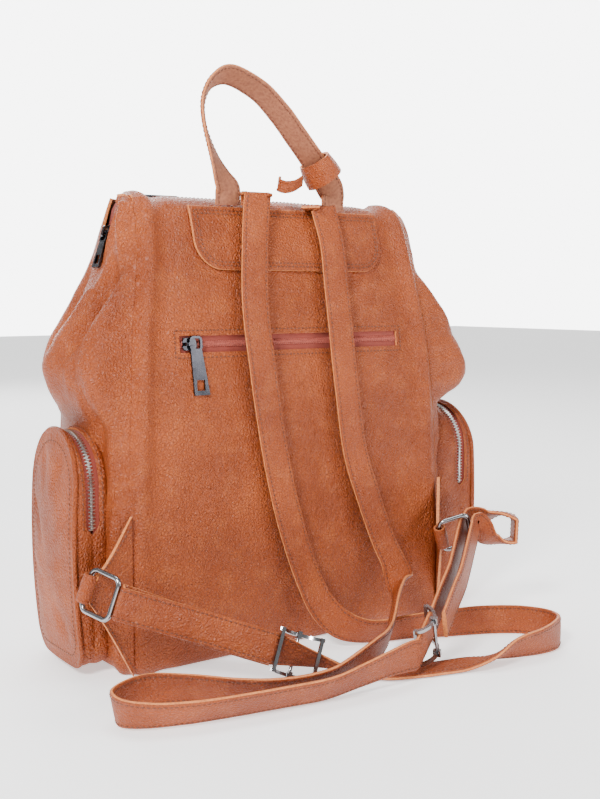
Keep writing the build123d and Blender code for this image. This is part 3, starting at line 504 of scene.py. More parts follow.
def gusset(side, name):
    """Side wall: puffed out over its pocket, puckered along both seams, cut away for the main zip's end."""
    nominal = 58.0
    s = np.linspace(-1, 1, 71)
    columns = nominal * (3 * s - s ** 3) / 2
    for value in (-MOUTH, MOUTH):
        columns[np.argmin(np.abs(columns - value))] = value
    z = np.concatenate([[0, 1.5, 3.5, 6.5, 10], np.arange(14, 170, 4.5), np.arange(170, MOUTH_Z - 1, 2.6),
                        [MOUTH_Z], np.arange(MOUTH_Z + 3, 334, 3.4), [335]])
    grid = []
    for level in z:
        d_back, d_front = depth(level, -1) - SEAM_ROUND, depth(level, 1) - SEAM_ROUND
        reach = np.where(columns < 0, d_back, d_front)
        size = np.abs(columns)
        y = np.sign(columns) * np.where(size <= MOUTH, size,
                                        MOUTH + (size - MOUTH) / (nominal - MOUTH) * (reach - MOUTH))
        t = y / reach
        front = (1 + t) / 2
        w = width(level, -1) * (1 - front) + width(level, 1) * front
        sharp = np.where(t > 0, SHARPNESS[1], SHARPNESS[0])
        swell = (at(CREST[side], level) - w) * (1 - np.abs(t) ** sharp)
        grid.append(np.stack([side * (w + swell), y, np.full_like(y, level)], axis=1))
    rows = np.array(grid)
    y, z = rows[..., 1], rows[..., 2]
    n = normals(rows)
    n *= np.sign((n[..., 0] * side).mean())
    back, front = y - y.min(axis=1, keepdims=True), y.max(axis=1, keepdims=True) - y
    fade = np.clip(back / 9, 0, 1) * np.clip(front / 9, 0, 1) * np.clip(z / 14, 0, 1)
    fade *= np.clip((np.abs(y) - MOUTH) / 12, 0, 1) * (z > MOUTH_Z - 20) + (z <= MOUTH_Z - 20)
    lift = fade * (1.7 * rough_noise(rows, 44.0, 5.0 + side) + 0.9 * rough_noise(rows, 17.0, 8.0 + side))
    # A rounded ridge stands beside the back seam, with a valley in front of it.
    upper = np.clip((z - 120) / 70, 0, 1)
    lift += upper * (4.6 * hill(back, 9.0, 6.0) - 4.2 * hill(back, 22, 7.0)) * (z < 331)
    lift += (1 - upper) * 2.6 * hill(back, 8, 5)
    # Puckers where the seam is gathered, and drag folds from the top corner down to the swell.
    pucker = np.sin(z / 2.3 + 1.5 * np.sin(z / 19.0)) * hill(back, 3.5, 3.5) * 0.5
    lift += pucker * np.clip((z - 20) / 30, 0, 1)
    for y0, z0, y1, z1, spread, height in (
            (-30, 326, 0, 228, 8.0, 5.0), (-40, 296, -16, 214, 5.5, -5.0), (-47, 262, -30, 206, 5.0, 3.4),
            (-44, 240, -22, 196, 4.0, -3.0), (-50, 228, -34, 180, 3.5, 2.0), (22, 300, 34, 216, 8.0, 4.5),
            (12, 280, 20, 214, 5.5, -4.6), (42, 270, 50, 200, 5.0, -3.0), (-24, 250, -8, 214, 3.5, -1.8),
            (-54, 150, -44, 96, 3.5, -2.0), (44, 150, 52, 90, 4.0, -2.0), (-52, 90, -42, 40, 4.0, 1.8),
            (-50, 124, -43, 78, 3.0, 1.6)):
        lift += fade * crease(y, z, (y0, z0), (y1, z1), spread, height)
    rows = rows + n * lift[..., None]
    skip = (np.abs(y[:-1, :-1] + y[1:, 1:]) / 2 < MOUTH - 0.2) & ((z[:-1, :-1] + z[1:, 1:]) / 2 > MOUTH_Z)
    build = Build()
    skin(rows, LEATHER, build, np.sign((normals(rows) * n).sum()), skip)
    build.done(f"{name}_gusset_leather", [TAN, FLESH, EDGE], [f"{name}_gusset"])
    return rows


def base(border):
    """Bottom: rings from the bag's lowest edge in to the middle."""
    build = Build()
    rings = []
    for inset, level in ((0, 0.6), (2.5, 0.05), (7, 0.0), (20, 0.0), (45, 0.0), (57, 0.0)):
        x = np.sign(border[:, 0]) * np.maximum(np.abs(border[:, 0]) - inset, 0)
        y = np.sign(border[:, 1]) * np.maximum(np.abs(border[:, 1]) - inset, 0)
        rings.append(np.stack([x, y, np.full_like(x, level)], axis=1))
    grid = np.array(rings)
    build.grid(grid, wrap=True, flip=True)
    build.grid(grid + np.array([0, 0, 1.8]), wrap=True)
    wide = grid.shape[1]
    for j in range(wide):
        k = (j + 1) % wide
        build.face((j, k, len(rings) * wide + k, len(rings) * wide + j))
    build.done("base_leather", [TAN], ["base_panel"])


def loft_box(name, levels, gap, wall, material, node):
    """Thin open bag inside the leather."""
    rings = []
    for offset in (gap, gap + wall):
        for z in levels:
            ring = []
            for side, order in ((-1, 1), (1, -1)):
                for f in np.linspace(-0.93, 0.93, 24):
                    wave = 0.8 * math.sin(f * 17 + z / 23)
                    x = order * f * (width(z, side) - offset)
                    ring.append((x, side * (depth(z, side) - offset + (wave if abs(f) < 0.9 else 0)), z))
            rings.append(ring)
    outer, inner = np.array(rings[:len(levels)]), np.array(rings[len(levels):][::-1])
    grid = np.concatenate([outer, inner])
    build = Build()
    build.grid(grid, wrap=True)
    wide = grid.shape[1]
    build.cap(0, wide)
    build.cap(build.count - wide, wide, flip=True)
    build.done(name, [material], [node])


# ---- zips -------------------------------------------------------------------------------------
TAPE = 0.8                   # thickness of a zip tape
SLIT = 1.0                   # from the zip's line to each tape
COIL = (2.3, 1.5, 1.1)       # reach, length and height of one turn of the coil
COIL_PITCH = 0.95


def frames(path, across):
    """Tangents, cross directions and normals along a path."""
    path, across = np.asarray(path, float), np.asarray(across, float)
    tangent = np.gradient(path, axis=0)
    tangent /= np.maximum(np.linalg.norm(tangent, axis=1, keepdims=True), 1e-9)
    across = across - tangent * (across * tangent).sum(axis=1, keepdims=True)
    across /= np.linalg.norm(across, axis=1, keepdims=True)
    return tangent, across, np.cross(across, tangent)


def resample(path, across, step):
    path, across = np.asarray(path, float), np.asarray(across, float)
    run = run_of(path)
    marks = np.linspace(0, run[-1], max(2, int(run[-1] / step) + 1))
    return [sample(marks, run, values) for values in (path, across)]


def zip_tapes(name, path, across, edge, node):
    """Two woven tapes with a slit between them; a ridge runs beside the teeth."""
    path, across = resample(path, across, 2.0)
    _, across, normal = frames(path, across)
    build = Build()
    for side in (-1, 1):
        profile = [(SLIT, -0.05), (2.6, 0.0), (4.2, 0.1), (edge, -0.05), (edge, -TAPE), (SLIT, -TAPE)]
        rows = np.array([path + across * (side * a) + normal * b for a, b in profile])
        build.grid(np.concatenate([rows, rows[:1]]), flip=side < 0)
        for column, turn_over in ((0, side > 0), (rows.shape[1] - 1, side < 0)):
            ring = [build.count - (len(profile) + 1) * rows.shape[1] + k * rows.shape[1] + column
                    for k in range(len(profile))]
            build.face(ring if turn_over else ring[::-1])
    build.done(name, [TAPE_CLOTH], [node])


def zip_chain(name, path, across, pitch, shape, mat, node, lift=0.0):
    """Interlocking teeth: every other one from each tape. shape is (reach, length, height)."""
    marks, across = resample(path, across, pitch)
    tangent, across, normal = frames(marks, across)
    reach, length, height = shape
    build = Build()
    profile = np.array([(-0.5, 0.0), (-0.42, 0.75), (0.0, 1.0), (0.42, 0.75), (0.5, 0.0)])
    for k in range(len(marks)):
        side = 1 if k % 2 else -1
        rings = []
        for out, grow in ((-0.9, 0.6), (-0.5, 1.0), (reach * 0.6, 1.0), (reach - 0.3, 0.85), (reach, 0.45)):
            ring = [marks[k] + across[k] * (side * out) + tangent[k] * (a * length * grow)
                    + normal[k] * (b * height * grow + lift) for a, b in profile]
            rings.append(ring)
        base = build.grid(np.array(rings), wrap=True, flip=side < 0)
        build.cap(base, len(profile), flip=side > 0)
        build.cap(build.count - len(profile), len(profile), flip=side < 0)
    build.done(name, [mat], [node], sharp=40.0)


# ---- side pockets -----------------------------------------------------------------------------
POCKET_OUT = {-1: 176.0, 1: 196.0}   # outer face, from the bag's middle
POCKET_ROOT = 150.0          # the wall starts here, just inside the gusset
POCKET_Y = {-1: -3.0, 1: -8.0}
POCKET_HALF = 39.0           # half its width, and the radius of its arch
POCKET_ARCH_Z = 132.0        # centre of the arch
POCKET_LOW_Z = 6.0
POCKET_CORNER = 16.0
ZIP_IN = 14.0                # the zip's line, in from the outer face
ZIP_END_Z = 103.0
ZIP_RADIUS = 36.9


def pocket_loop(y_middle):
    """Arched outline from the middle of the bottom and up the back leg: points and out-normals."""
    half, r = POCKET_HALF, POCKET_CORNER
    out = []
    for y in np.linspace(0, -(half - r), 10)[:-1]:
        out.append((y, POCKET_LOW_Z, 0, -1))
    for a in np.radians(np.linspace(270, 180, 10)):
        c, d = math.cos(a), math.sin(a)
        out.append((-(half - r) + r * c, POCKET_LOW_Z + r + r * d, c, d))
    for z in np.linspace(POCKET_LOW_Z + r, POCKET_ARCH_Z, 36)[1:-1]:
        out.append((-half, z, -1, 0))
    for a in np.radians(np.linspace(180, 90, 26)):
        out.append((half * math.cos(a), POCKET_ARCH_Z + half * math.sin(a), math.cos(a), math.sin(a)))
    left = np.array(out)
    right = left[::-1][1:] * np.array([-1, 1, -1, 1])
    loop = np.concatenate([left, right[:-1]])
    loop[:, 0] += y_middle
    return loop


def pocket(side, name):
    outside, y_middle = POCKET_OUT[side], POCKET_Y[side]
    middle = outside - ZIP_IN
    loop = pocket_loop(y_middle)
    y, z, ny, nz = loop.T
    gap = 5.0 * np.clip((z - ZIP_END_Z + 2) / 4, 0, 1)
    inner_edge, outer_edge = middle - gap, middle + gap
    build = Build()
    thread = Build()

    def curl(y):
        """The left pocket's outer side turns in towards its front."""
        return (4.0 if side < 0 else 0.0) * np.clip((y - y_middle + 12) / 51, 0, 1) ** 2

    def barrel(z):
        """The outer side bows in towards its top and bottom."""
        return 5.5 * ((z - 90) / 82) ** 2

    def strip(low, high, bulge, steps, tuck_low, tuck_high):
        rows = []
        for u in np.linspace(0, 1, steps):
            x = low + (high - low) * u
            puff = bulge * math.sin(math.pi * u) - tuck_low * (1 - u) ** 6 - tuck_high * u ** 6
            rows.append(np.stack([side * (x + 0 * y), y + ny * puff, z + nz * puff], axis=1))
        return np.array(rows)

    bulge, steps = (0.8, 7) if side < 0 else (2.6, 15)
    inner = strip(np.full_like(y, POCKET_ROOT), inner_edge, bulge, steps, 1.5, 0.2)
    outer = strip(outer_edge, np.full_like(y, outside - 0.4), 0.9, 8, 0.2, 1.6)
    share = np.linspace(0, 1, len(outer))[:, None]
    outer[..., 0] -= side * (curl(outer[..., 1]) + barrel(outer[..., 2])) * share
    for rows in (inner, outer):
        n = normals(rows, True)
        out = np.stack([0 * y, ny, nz], axis=1)
        sign = np.sign((n * out).sum())
        ripple = 0.5 * rough_noise(rows, 13.0, 31.0 + side) + 0.35 * rough_noise(rows, 6.0, 37.0)
        share = np.linspace(0, 1, len(rows))[:, None]
        rows = rows + n * (sign * ripple * np.sin(math.pi * share))[..., None]
        skin(rows, LEATHER * 0.8, build, sign, wrap=True)
    build.done(f"{name}_pocket_wall_leather", [TAN, FLESH, EDGE], [f"{name}_pocket_wall"])

    # Outer face: a rolled seam, then a slack dome that hangs lowest near its bottom.
    face = Build()
    cy, cz = y_middle, 84.0
    rings = []
    dome = 2.0 if side < 0 else 8.5
    for grow, x in ((0.6, -1.6), (1.7, -0.7), (1.9, 0.9), (0.9, 2.0), (-0.6, 1.7), (-2.2, 1.4)):
        rings.append(np.stack([side * (outside + x + 0 * y), y + ny * grow, z + nz * grow], axis=1))
    seam = rings[-1]
    for share in (0.97, 0.93, 0.88, 0.82, 0.75, 0.67, 0.58, 0.48, 0.37, 0.26, 0.14, 0.05):
        ry = cy + (seam[:, 1] - cy) * share
        rz = cz + (seam[:, 2] - cz) * share
        swell = dome * (1 - share ** 2.6) * (0.8 + 0.35 * hill(rz, 62, 45))
        rings.append(np.stack([side * (outside + 1.4 + swell), ry, rz], axis=1))
    rows = np.array(rings)
    rows[..., 0] -= side * (curl(rows[..., 1]) + barrel(rows[..., 2]))
    n = normals(rows, True)
    n[-1] = n[-2]
    n *= np.sign((n[8:, :, 0] * side).mean())
    inside = np.concatenate([np.zeros(6), np.linspace(0.3, 1, 4), np.ones(len(rings) - 10)])[:, None]
    lift = inside * (1.3 * rough_noise(rows, 34.0, 41.0 + side) + 0.6 * rough_noise(rows, 14.0, 43.0))
    py, pz = rows[..., 1] - cy, rows[..., 2]
    for y0, z0, y1, z1, spread, height in ((-34, 118, -16, 96, 4, -1.8), (-34, 88, -12, 74, 4.5, -1.6),
                                           (34, 120, 14, 92, 4.5, -1.8), (34, 70, 10, 58, 5, -1.5),
                                           (-20, 156, -8, 132, 4, -1.5), (16, 158, 6, 128, 5, -1.4),
                                           (-26, 24, -6, 44, 5, -1.6), (26, 26, 4, 40, 5, -1.4)):
        lift += inside * crease(py, pz, (y0, z0), (y1, z1), spread, height)
    rows = rows + n * lift[..., None]
    face.grid(rows, wrap=True, flip=side > 0)
    wide = rows.shape[1]
    face.cap(face.count - wide, wide, flip=side > 0)
    first = rows[0]
    back_rows = np.array([first, np.stack([first[:, 0] - side * 0.2, cy + (first[:, 1] - cy) * 0.9,
                                           cz + (first[:, 2] - cz) * 0.9], axis=1)])
    face.grid(back_rows, wrap=True, flip=side < 0)
    face.cap(face.count - wide, wide, flip=side < 0)
    face.done(f"{name}_pocket_face_leather", [TAN, FLESH, EDGE], [f"{name}_pocket_face"])

    # Stitches: on the face inside its seam, and on both sides of the zip window.
    stitch_row(thread, np.concatenate([rows[7], rows[7][:1]]), np.concatenate([n[7], n[7][:1]]))
    high = z > ZIP_END_Z - 1
    lane = np.stack([y[high], z[high], ny[high], nz[high]], axis=1)[np.argsort(-y[high])]
    angle = np.arctan2(lane[:, 1] - POCKET_ARCH_Z, lane[:, 0] - y_middle)
    lane = lane[np.argsort(np.where(lane[:, 1] < POCKET_ARCH_Z,
                                    np.where(lane[:, 0] > y_middle, lane[:, 1] - 500, 500 - lane[:, 1]),
                                    angle * 10))]
    for x in (middle - 7.4, middle + 7.4):
        out = np.stack([0 * lane[:, 0], lane[:, 2], lane[:, 3]], axis=1)
        path = np.stack([side * (x + 0 * lane[:, 0]), lane[:, 0], lane[:, 1]], axis=1) + out * 0.75
        stitch_row(thread, path, out)
    thread.done(f"{name}_pocket_stitches", [THREAD])

    arc = np.radians(np.linspace(180, 0, 61))
    line = [(y_middle - ZIP_RADIUS, ZIP_END_Z - 4)]
    line += [(y_middle + ZIP_RADIUS * math.cos(a), POCKET_ARCH_Z + ZIP_RADIUS * math.sin(a)) for a in arc]
    line.append((y_middle + ZIP_RADIUS, ZIP_END_Z - 4))
    path = np.array([(side * middle, v, w) for v, w in line])
    across = np.tile((1.0, 0, 0), (len(path), 1))
    zip_tapes(f"{name}_pocket_tape", path, across, 8.0, f"{name}_pocket_zip_tape")
    teeth = path.copy()
    teeth[0, 2] = teeth[-1, 2] = ZIP_END_Z + 0.8
    zip_chain(f"{name}_pocket_teeth", teeth, across, 1.25, (2.6, 1.0, 1.2), TEETH,
              f"{name}_pocket_zip_teeth", 0.1)


# ---- straps -----------------------------------------------------------------------------------
STRAP_WIDTH = 22.5
STRAP = 3.0                  # thickness
STRAP_TURN = 5.0             # radius of the strap's middle round the ring
STITCH_LANE = 2.3            # stitches, in from the strap's edge
RING_HEIGHT = 28.5
TAB_TURN = 4.0               # radius of the tab's loop round the ring
SEAM_X, SEAM_Y = 146.6, -62.6     # lower end of the back seam
ADJUSTER_BACK = 6.4          # the adjuster's bar, behind the strap's outward run
RETURN_GAP = 9.6             # between the run to the ring and the run back
SEWN_GAP = 3.4               # between the outward run and the sewn end
ROOT_Y = -37.6               # the straps' and handle's roots
FLAT = (1, 0, 0)             # cross direction of a strap that lies against the back


def station(x, y, z, across):
    return np.array((x, y, z), float), unit(across)


def stations(*rows):
    return [station(*row) for row in rows]


def on_floor(x, y, lean=(0, 0), lift=0.0):
    across = unit((lean[0], lean[1], 1))
    reach = STRAP_WIDTH / 2 * across[2] + STRAP / 2 * math.sqrt(1 - across[2] ** 2)
    return np.array((x, y, reach + 0.5 + lift)), across


def along_floor(*rows):
    return [on_floor(*row) for row in rows]


def turn(centre, axis, start, sweep, radius, steps=6):
    side = np.cross(axis, start)
    return [(centre + (start * math.cos(a) + side * math.sin(a)) * radius, axis)
            for a in np.radians(sweep) * np.arange(steps + 1) / steps]


def smooth(route, steps=9):
    """Catmull-Rom curve through a route of (point, across) stations."""
    out = []
    count = len(route)
    for i in range(count - 1):
        group = [route[max(i - 1, 0)], route[i], route[i + 1], route[min(i + 2, count - 1)]]
        for t in np.arange(steps) / steps:
            w = (-t + 2 * t**2 - t**3, 2 - 5 * t**2 + 3 * t**3, t + 4 * t**2 - 3 * t**3, t**3 - t**2)
            out.append(tuple(sum(g[k] * (v / 2) for g, v in zip(group, w)) for k in (0, 1)))
    return out + [route[-1]]


def strap(name, route, wide, thick, replaced, body="bag", stitched=True, under=None, steps=9):
    """Leather strap with rounded faces, raw edges, stitch grooves and stitches along both edges."""
    line = smooth(route, steps)
    path = np.array([p for p, _ in line])
    across = np.array([a for _, a in line])
    keep = np.concatenate([[True], np.linalg.norm(np.diff(path, axis=0), axis=1) > 0.15])
    path, across = path[keep], across[keep]
    _, across, normal = frames(path, across)
    half, rise, lane = wide / 2, thick / 2, STITCH_LANE
    face = [(-half + 0.05, rise - 0.75), (-half + 0.45, rise - 0.2), (-half + 1.2, rise),
            (-half + lane - 0.5, rise), (-half + lane, rise - 0.22), (-half + lane + 0.6, rise),
            (-half * 0.4, rise + 0.18), (half * 0.4, rise + 0.18),
            (half - lane - 0.6, rise), (half - lane, rise - 0.22), (half - lane + 0.5, rise),
            (half - 1.2, rise), (half - 0.45, rise - 0.2), (half - 0.05, rise - 0.75)]
    section = face + [(a, -b) for a, b in face[::-1]]
    split = len(face)
    index = [0] * (split - 1) + [1] + [0 if under is None else 2] * (split - 1) + [1]
    run = run_of(path)
    seed = 7.0 + len(name)
    wave = np.array([noise.noise(Vector((s / 45.0, seed, 0.0))) for s in run])
    size = 1.0 + 0.018 * wave
    rows = np.array([path + across * (a * size)[:, None] + normal * b for a, b in section])
    grain = 0.12 * rough_noise(rows, 11.0, seed)
    rows = rows + normal[None] * grain[..., None]
    rows = rows.transpose(1, 0, 2)
    build = Build()
    build.grid(rows, wrap=True, column_index=index)
    build.cap(0, len(section), True, 1)
    build.cap(build.count - len(section), len(section), False, 1)
    made = [build.done(name, [SMOOTH_TAN, EDGE, under or SMOOTH_TAN], replaced, body, 50.0)]
    if stitched:
        thread = Build()
        for sign in (1, -1):
            for edge in (-1, 1):
                rail = path + across * (edge * (half - lane) * size)[:, None]
                stitch_row(thread, rail + normal * (sign * (rise - 0.12)), normal * sign)
        made.append(thread.done(f"{name}_stitches", [THREAD], (), body))
    return made


class Corner:
    """One lower corner of the bag: its tab, and the strap from the adjuster to the ring and back."""

    def __init__(self, side, anchor, bar, upright, buckle, lean, slack=()):
        self.side, self.slack = side, list(slack)
        self.anchor, self.upright = np.array(anchor, float), unit(upright)
        reach = np.array(bar, float) - self.anchor
        self.reach = reach - self.upright * reach.dot(self.upright)
        self.bar = self.anchor + self.reach
        self.buckle = np.array(buckle, float)
        self.run = unit(self.bar - self.buckle)
        level = unit(np.cross(self.run, (0, 0, 1)))
        rise = np.cross(level, self.run)
        tip = math.radians(lean)
        self.across = rise * math.cos(tip) + level * math.sin(tip)
        self.back = np.cross(self.run, self.across)

    def between(self, share, gap):
        point = self.buckle + (self.bar - self.buckle) * share + self.back * gap
        return point, unit(self.across * (1 - share) + self.upright * share)

    def strap_to_ring(self):
        travel = unit(self.run - self.upright * self.run.dot(self.upright))
        back = unit(np.cross(travel, self.upright))
        path = [(self.buckle + self.run * s, self.across) for s in (-20, -10, 0, 10, 20)]
        path += [self.between(share, 0) for share in (0.35, 0.55)]
        path.append((self.bar - back * STRAP_TURN - travel * 9, self.upright))
        if self.slack:
            path.append((self.bar - back * STRAP_TURN, self.upright))
            path.append((self.bar - back * 3 + travel * 10, self.upright))
            path += self.slack
            path.append((self.bar + back * STRAP_TURN + travel * 4, self.upright))
        else:
            path += turn(self.bar, self.upright, -back, -180, STRAP_TURN, 8)
        path.append((self.bar + back * STRAP_TURN - travel * 9, self.upright))
        path += [self.between(share, RETURN_GAP) for share in (0.55, 0.35)]
        path += [(self.buckle + self.run * s + self.back * RETURN_GAP, self.across) for s in (18, 9)]
        fold = (RETURN_GAP - SEWN_GAP) / 2
        path += turn(self.buckle + self.back * ADJUSTER_BACK, self.across, self.back, -180, fold)
        path += [(self.buckle + self.run * s + self.back * SEWN_GAP, self.across) for s in (8, 17)]
        return path

    def tab(self, name):
        """Triangular wing from the seam, its end wrapped round the ring's bar."""
        seam_x = self.side * (SEAM_X - 4)
        out = self.anchor - np.array((seam_x, SEAM_Y, 58))
        out = unit(out - self.upright * out.dot(self.upright))
        normal = unit(np.cross(out, self.upright))
        half = RING_HEIGHT / 2 - 4.4
        end = self.anchor - out * (TAB_TURN + 0.9)
        rows = []
        for v in np.linspace(0, 1, 21):
            low = np.array((seam_x, SEAM_Y + 1.5, 2 + 112 * v))
            tip = end + self.upright * (half * (2 * v - 1))
            line = []
            for u in np.linspace(0, 1, 22):
                pull = u ** 0.8
                point = low * (1 - pull) + tip * pull
                sag = math.sin(math.pi * u) * (5.0 * (v - 0.5) * abs(2 * v - 1))
                point = point - np.array((0, 0, 1)) * sag
                fold = 1.0 * math.sin(3 * math.pi * v) * math.sin(math.pi * u) * (1 - u)
                line.append(point + normal * fold)
            rows.append(line)
        rows = np.array(rows)
        n = normals(rows)
        sign = np.sign((n * normal).sum())
        n *= sign
        build = Build()
        front, rear = rows + n * 1.2, rows - n * 1.2
        build.grid(front, flip=sign < 0)
        build.grid(rear, flip=sign > 0)
        high, wide = rows.shape[:2]
        border = [(0, j) for j in range(wide - 1)] + [(i, wide - 1) for i in range(high - 1)]
        border += [(high - 1, j) for j in range(wide - 1, 0, -1)] + [(i, 0) for i in range(high - 1, 0, -1)]
        for (i, j), (k, m) in zip(border, border[1:] + border[:1]):
            p, q = i * wide + j, k * wide + m
            face = (p, q, high * wide + q, high * wide + p)
            build.face(face if sign < 0 else face[::-1], 1)
        build.done(f"{name}_tab_leather", [TAN, EDGE], [f"{name}_tab"])
        thread = Build()
        for i, lean in ((1, 1), (high - 2, 1), (1, -1), (high - 2, -1)):
            stitch_row(thread, rows[i] + n[i] * (1.2 * lean), n[i] * lean)
        thread.done(f"{name}_tab_stitches", [THREAD])
        loop = turn(self.anchor, self.upright, -out, 300, TAB_TURN, 20)
        strap(f"{name}_tab_loop", loop, 2 * half, 1.9, (), stitched=False, steps=3)


LEFT = Corner(-1, (-177, -63, 70), (-167, -86, 70), (0.30, -0.10, 0.95), (-57, -136, 20.5), 20)
LOOSE = (-0.6, -0.8, 0)
RIGHT_SLACK = stations((166, -90, 82, (-0.5, -0.55, 0.6)), (178, -99, 85, (-0.6, -0.75, 0.2)),
                       (187, -108, 81, LOOSE), (191, -112, 73, LOOSE), (187, -108.5, 64.5, LOOSE),
                       (176, -103, 62, (-0.6, -0.75, 0.2)), (164, -99, 66, (-0.5, -0.5, 0.6)))
RIGHT = Corner(1, (124, -85, 70), (146, -96, 72), (-0.42, -0.2, 0.89), (33, -168, 25.5), 0, RIGHT_SLACK)


def left_strap():
    """From the yoke down the back, round the right-hand floor loop, through the adjuster to the ring."""
    path = stations((-25.5, ROOT_Y, 331, FLAT), (-25.8, -38.2, 342, FLAT), (-27, -43.3, 347, FLAT),
                    (-28.5, -48.2, 342, FLAT), (-30.5, -49, 328, FLAT), (-34.5, -53.2, 303, FLAT),
                    (-38.5, -58.5, 270, FLAT), (-39, -62.3, 243, FLAT), (-36, -64.8, 213, FLAT),
                    (-33.5, -66.3, 190, FLAT), (-27.3, -67.5, 151, FLAT), (-19, -68.5, 113, FLAT),
                    (-8.7, -70, 77, FLAT), (0.5, -73, 50, (1, 0, 0.2)), (6, -80, 33, (0.9, -0.1, 0.4)),
                    (14, -90, 20, (0.6, -0.3, 0.7)), (27, -99, 13.5, (0.25, -0.5, 0.85)))
    path += along_floor((45, -104, (0, -0.55)), (70, -110, (0, -0.4)), (95, -120, (0, -0.2)), (118, -127),
                        (138, -137), (153, -150), (160, -167), (156, -181), (143, -190),
                        (122, -194, (0, -0.3)), (98, -191, (0, -0.7)))
    # It lies flat where the other strap crosses over it, and rises again behind it.
    path += stations((74, -186, 5.6, (0.15, -1, 0.35)), (55, -177.5, 2.4, (0.3, -1, 0.04)),
                     (30, -170, 1.9, (0.3, -1, 0)), (11, -163.5, 1.9, (0.35, -1, 0)),
                     (-3, -155.5, 2.0, (0.4, -1, 0.02)), (-15, -147.5, 3.6, (-0.4, -0.9, 0.1)),
                     (-21, -144.5, 7.8, (-0.35, -0.75, 0.5)), (-27, -142.5, 12.4, (-0.3, -0.6, 0.8)))
    # It is straight before it enters the adjuster.
    path.append((LEFT.buckle - LEFT.run * 24, LEFT.across))
    return smooth(path + LEFT.strap_to_ring())


def right_strap():
    """From the yoke down the back, round the left-hand floor loop, through the adjuster to the ring."""
    path = stations((21.8, ROOT_Y, 331, FLAT), (22.3, -38.2, 337.5, FLAT), (25.5, -43.3, 342, FLAT),
                    (29, -48.2, 337.5, FLAT), (32, -49, 327, FLAT), (36.3, -53.2, 303, FLAT),
                    (36.6, -58.5, 270, FLAT), (37.4, -62.3, 243, FLAT), (39.3, -64.8, 213, FLAT),
                    (42, -66.5, 186, FLAT), (48, -67.7, 145, FLAT), (60, -69.2, 109, FLAT),
                    (73, -73, 72, (1, 0, 0.15)), (77, -82, 54, (0.95, 0, 0.35)),
                    (73, -93, 43, (0.7, -0.1, 0.7)), (61, -105, 38, (0.35, -0.15, 0.93)),
                    (45, -119, 31, (0.1, -0.3, 0.95)))
    path += along_floor((29, -133, (0, -0.4), 9.5), (8, -150, (0, -0.4), 8.5),
                        (-12, -161, (0, -0.4), 8.5), (-32, -165, (0, -0.5), 4.5),
                        (-50, -166, (0, -0.6), 0.4), (-70, -165, (0, -0.7)), (-94, -159, (0, -0.7)),
                        (-117, -145, (0, -0.6)), (-140, -124, (0, -0.4)), (-160, -116), (-179, -119),
                        (-191, -130, (-0.2, 0)), (-190, -143, (-0.3, -0.3)), (-176, -154, (-0.2, -0.6)),
                        (-152, -163, (-0.2, -0.7)), (-124, -169, (-0.1, -0.75)), (-94, -174, (0, -0.75)),
                        (-62, -178.5, (0, -0.7)), (-36, -181.5, (0, -0.55), 4),
                        (-12, -183, (0, -0.35), 7.5), (5, -181.5, (0, -0.15), 8))
    return smooth(path + RIGHT.strap_to_ring())


# ---- handle -----------------------------------------------------------------------------------
HANDLE_ROOTS = (-48.2, 48.5)
HANDLE_WIDTH = 21.0
HANDLE = 2.6                 # thickness


def handle():
    """Loop of single leather from the yoke, edge-on between its two flat roots."""
    left, right = HANDLE_ROOTS
    path = stations((left, ROOT_Y, 330.5, (-1, 0, 0)), (left, ROOT_Y, 335, (-1, 0, 0)),
                    (left, ROOT_Y, 339, (-1, 0, 0)), (left - 0.3, -37.8, 342.5, (-1, -0.05, 0)),
                    (-53.5, -38, 351, (-0.92, -0.4, 0)), (-60.5, -38, 366, (-0.7, -0.7, 0)),
                    (-67.6, -38, 386.2, (-0.55, -0.83, 0)), (-68.7, -38, 403.6, (-0.53, -0.85, 0.05)),
                    (-61.1, -38, 417.8, (-0.5, -0.85, 0.2)), (-45.8, -38, 423.8, (-0.45, -0.75, 0.45)),
                    (-20.6, -38, 415, (-0.2, -0.8, 0.5)), (-1.7, -38, 400.1, (-0.05, -0.83, 0.54)),
                    (12.2, -38, 385.7, (0.05, -0.85, 0.5)), (25.4, -38, 371.7, (0.2, -0.9, 0.4)),
                    (36.5, -38, 359.5, (0.5, -0.85, 0.3)), (45, -38, 348.5, (0.85, -0.45, 0.2)),
                    (right, -37.8, 342, (1, -0.1, 0)), (right, ROOT_Y, 339, (1, 0, 0)),
                    (right, ROOT_Y, 335, (1, 0, 0)), (right, ROOT_Y, 330.5, (1, 0, 0)))
    for obj in strap("handle_leather", path, HANDLE_WIDTH, HANDLE,
                     ["handle", "handle_ends"], None, under=FLESH):
        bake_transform(obj)


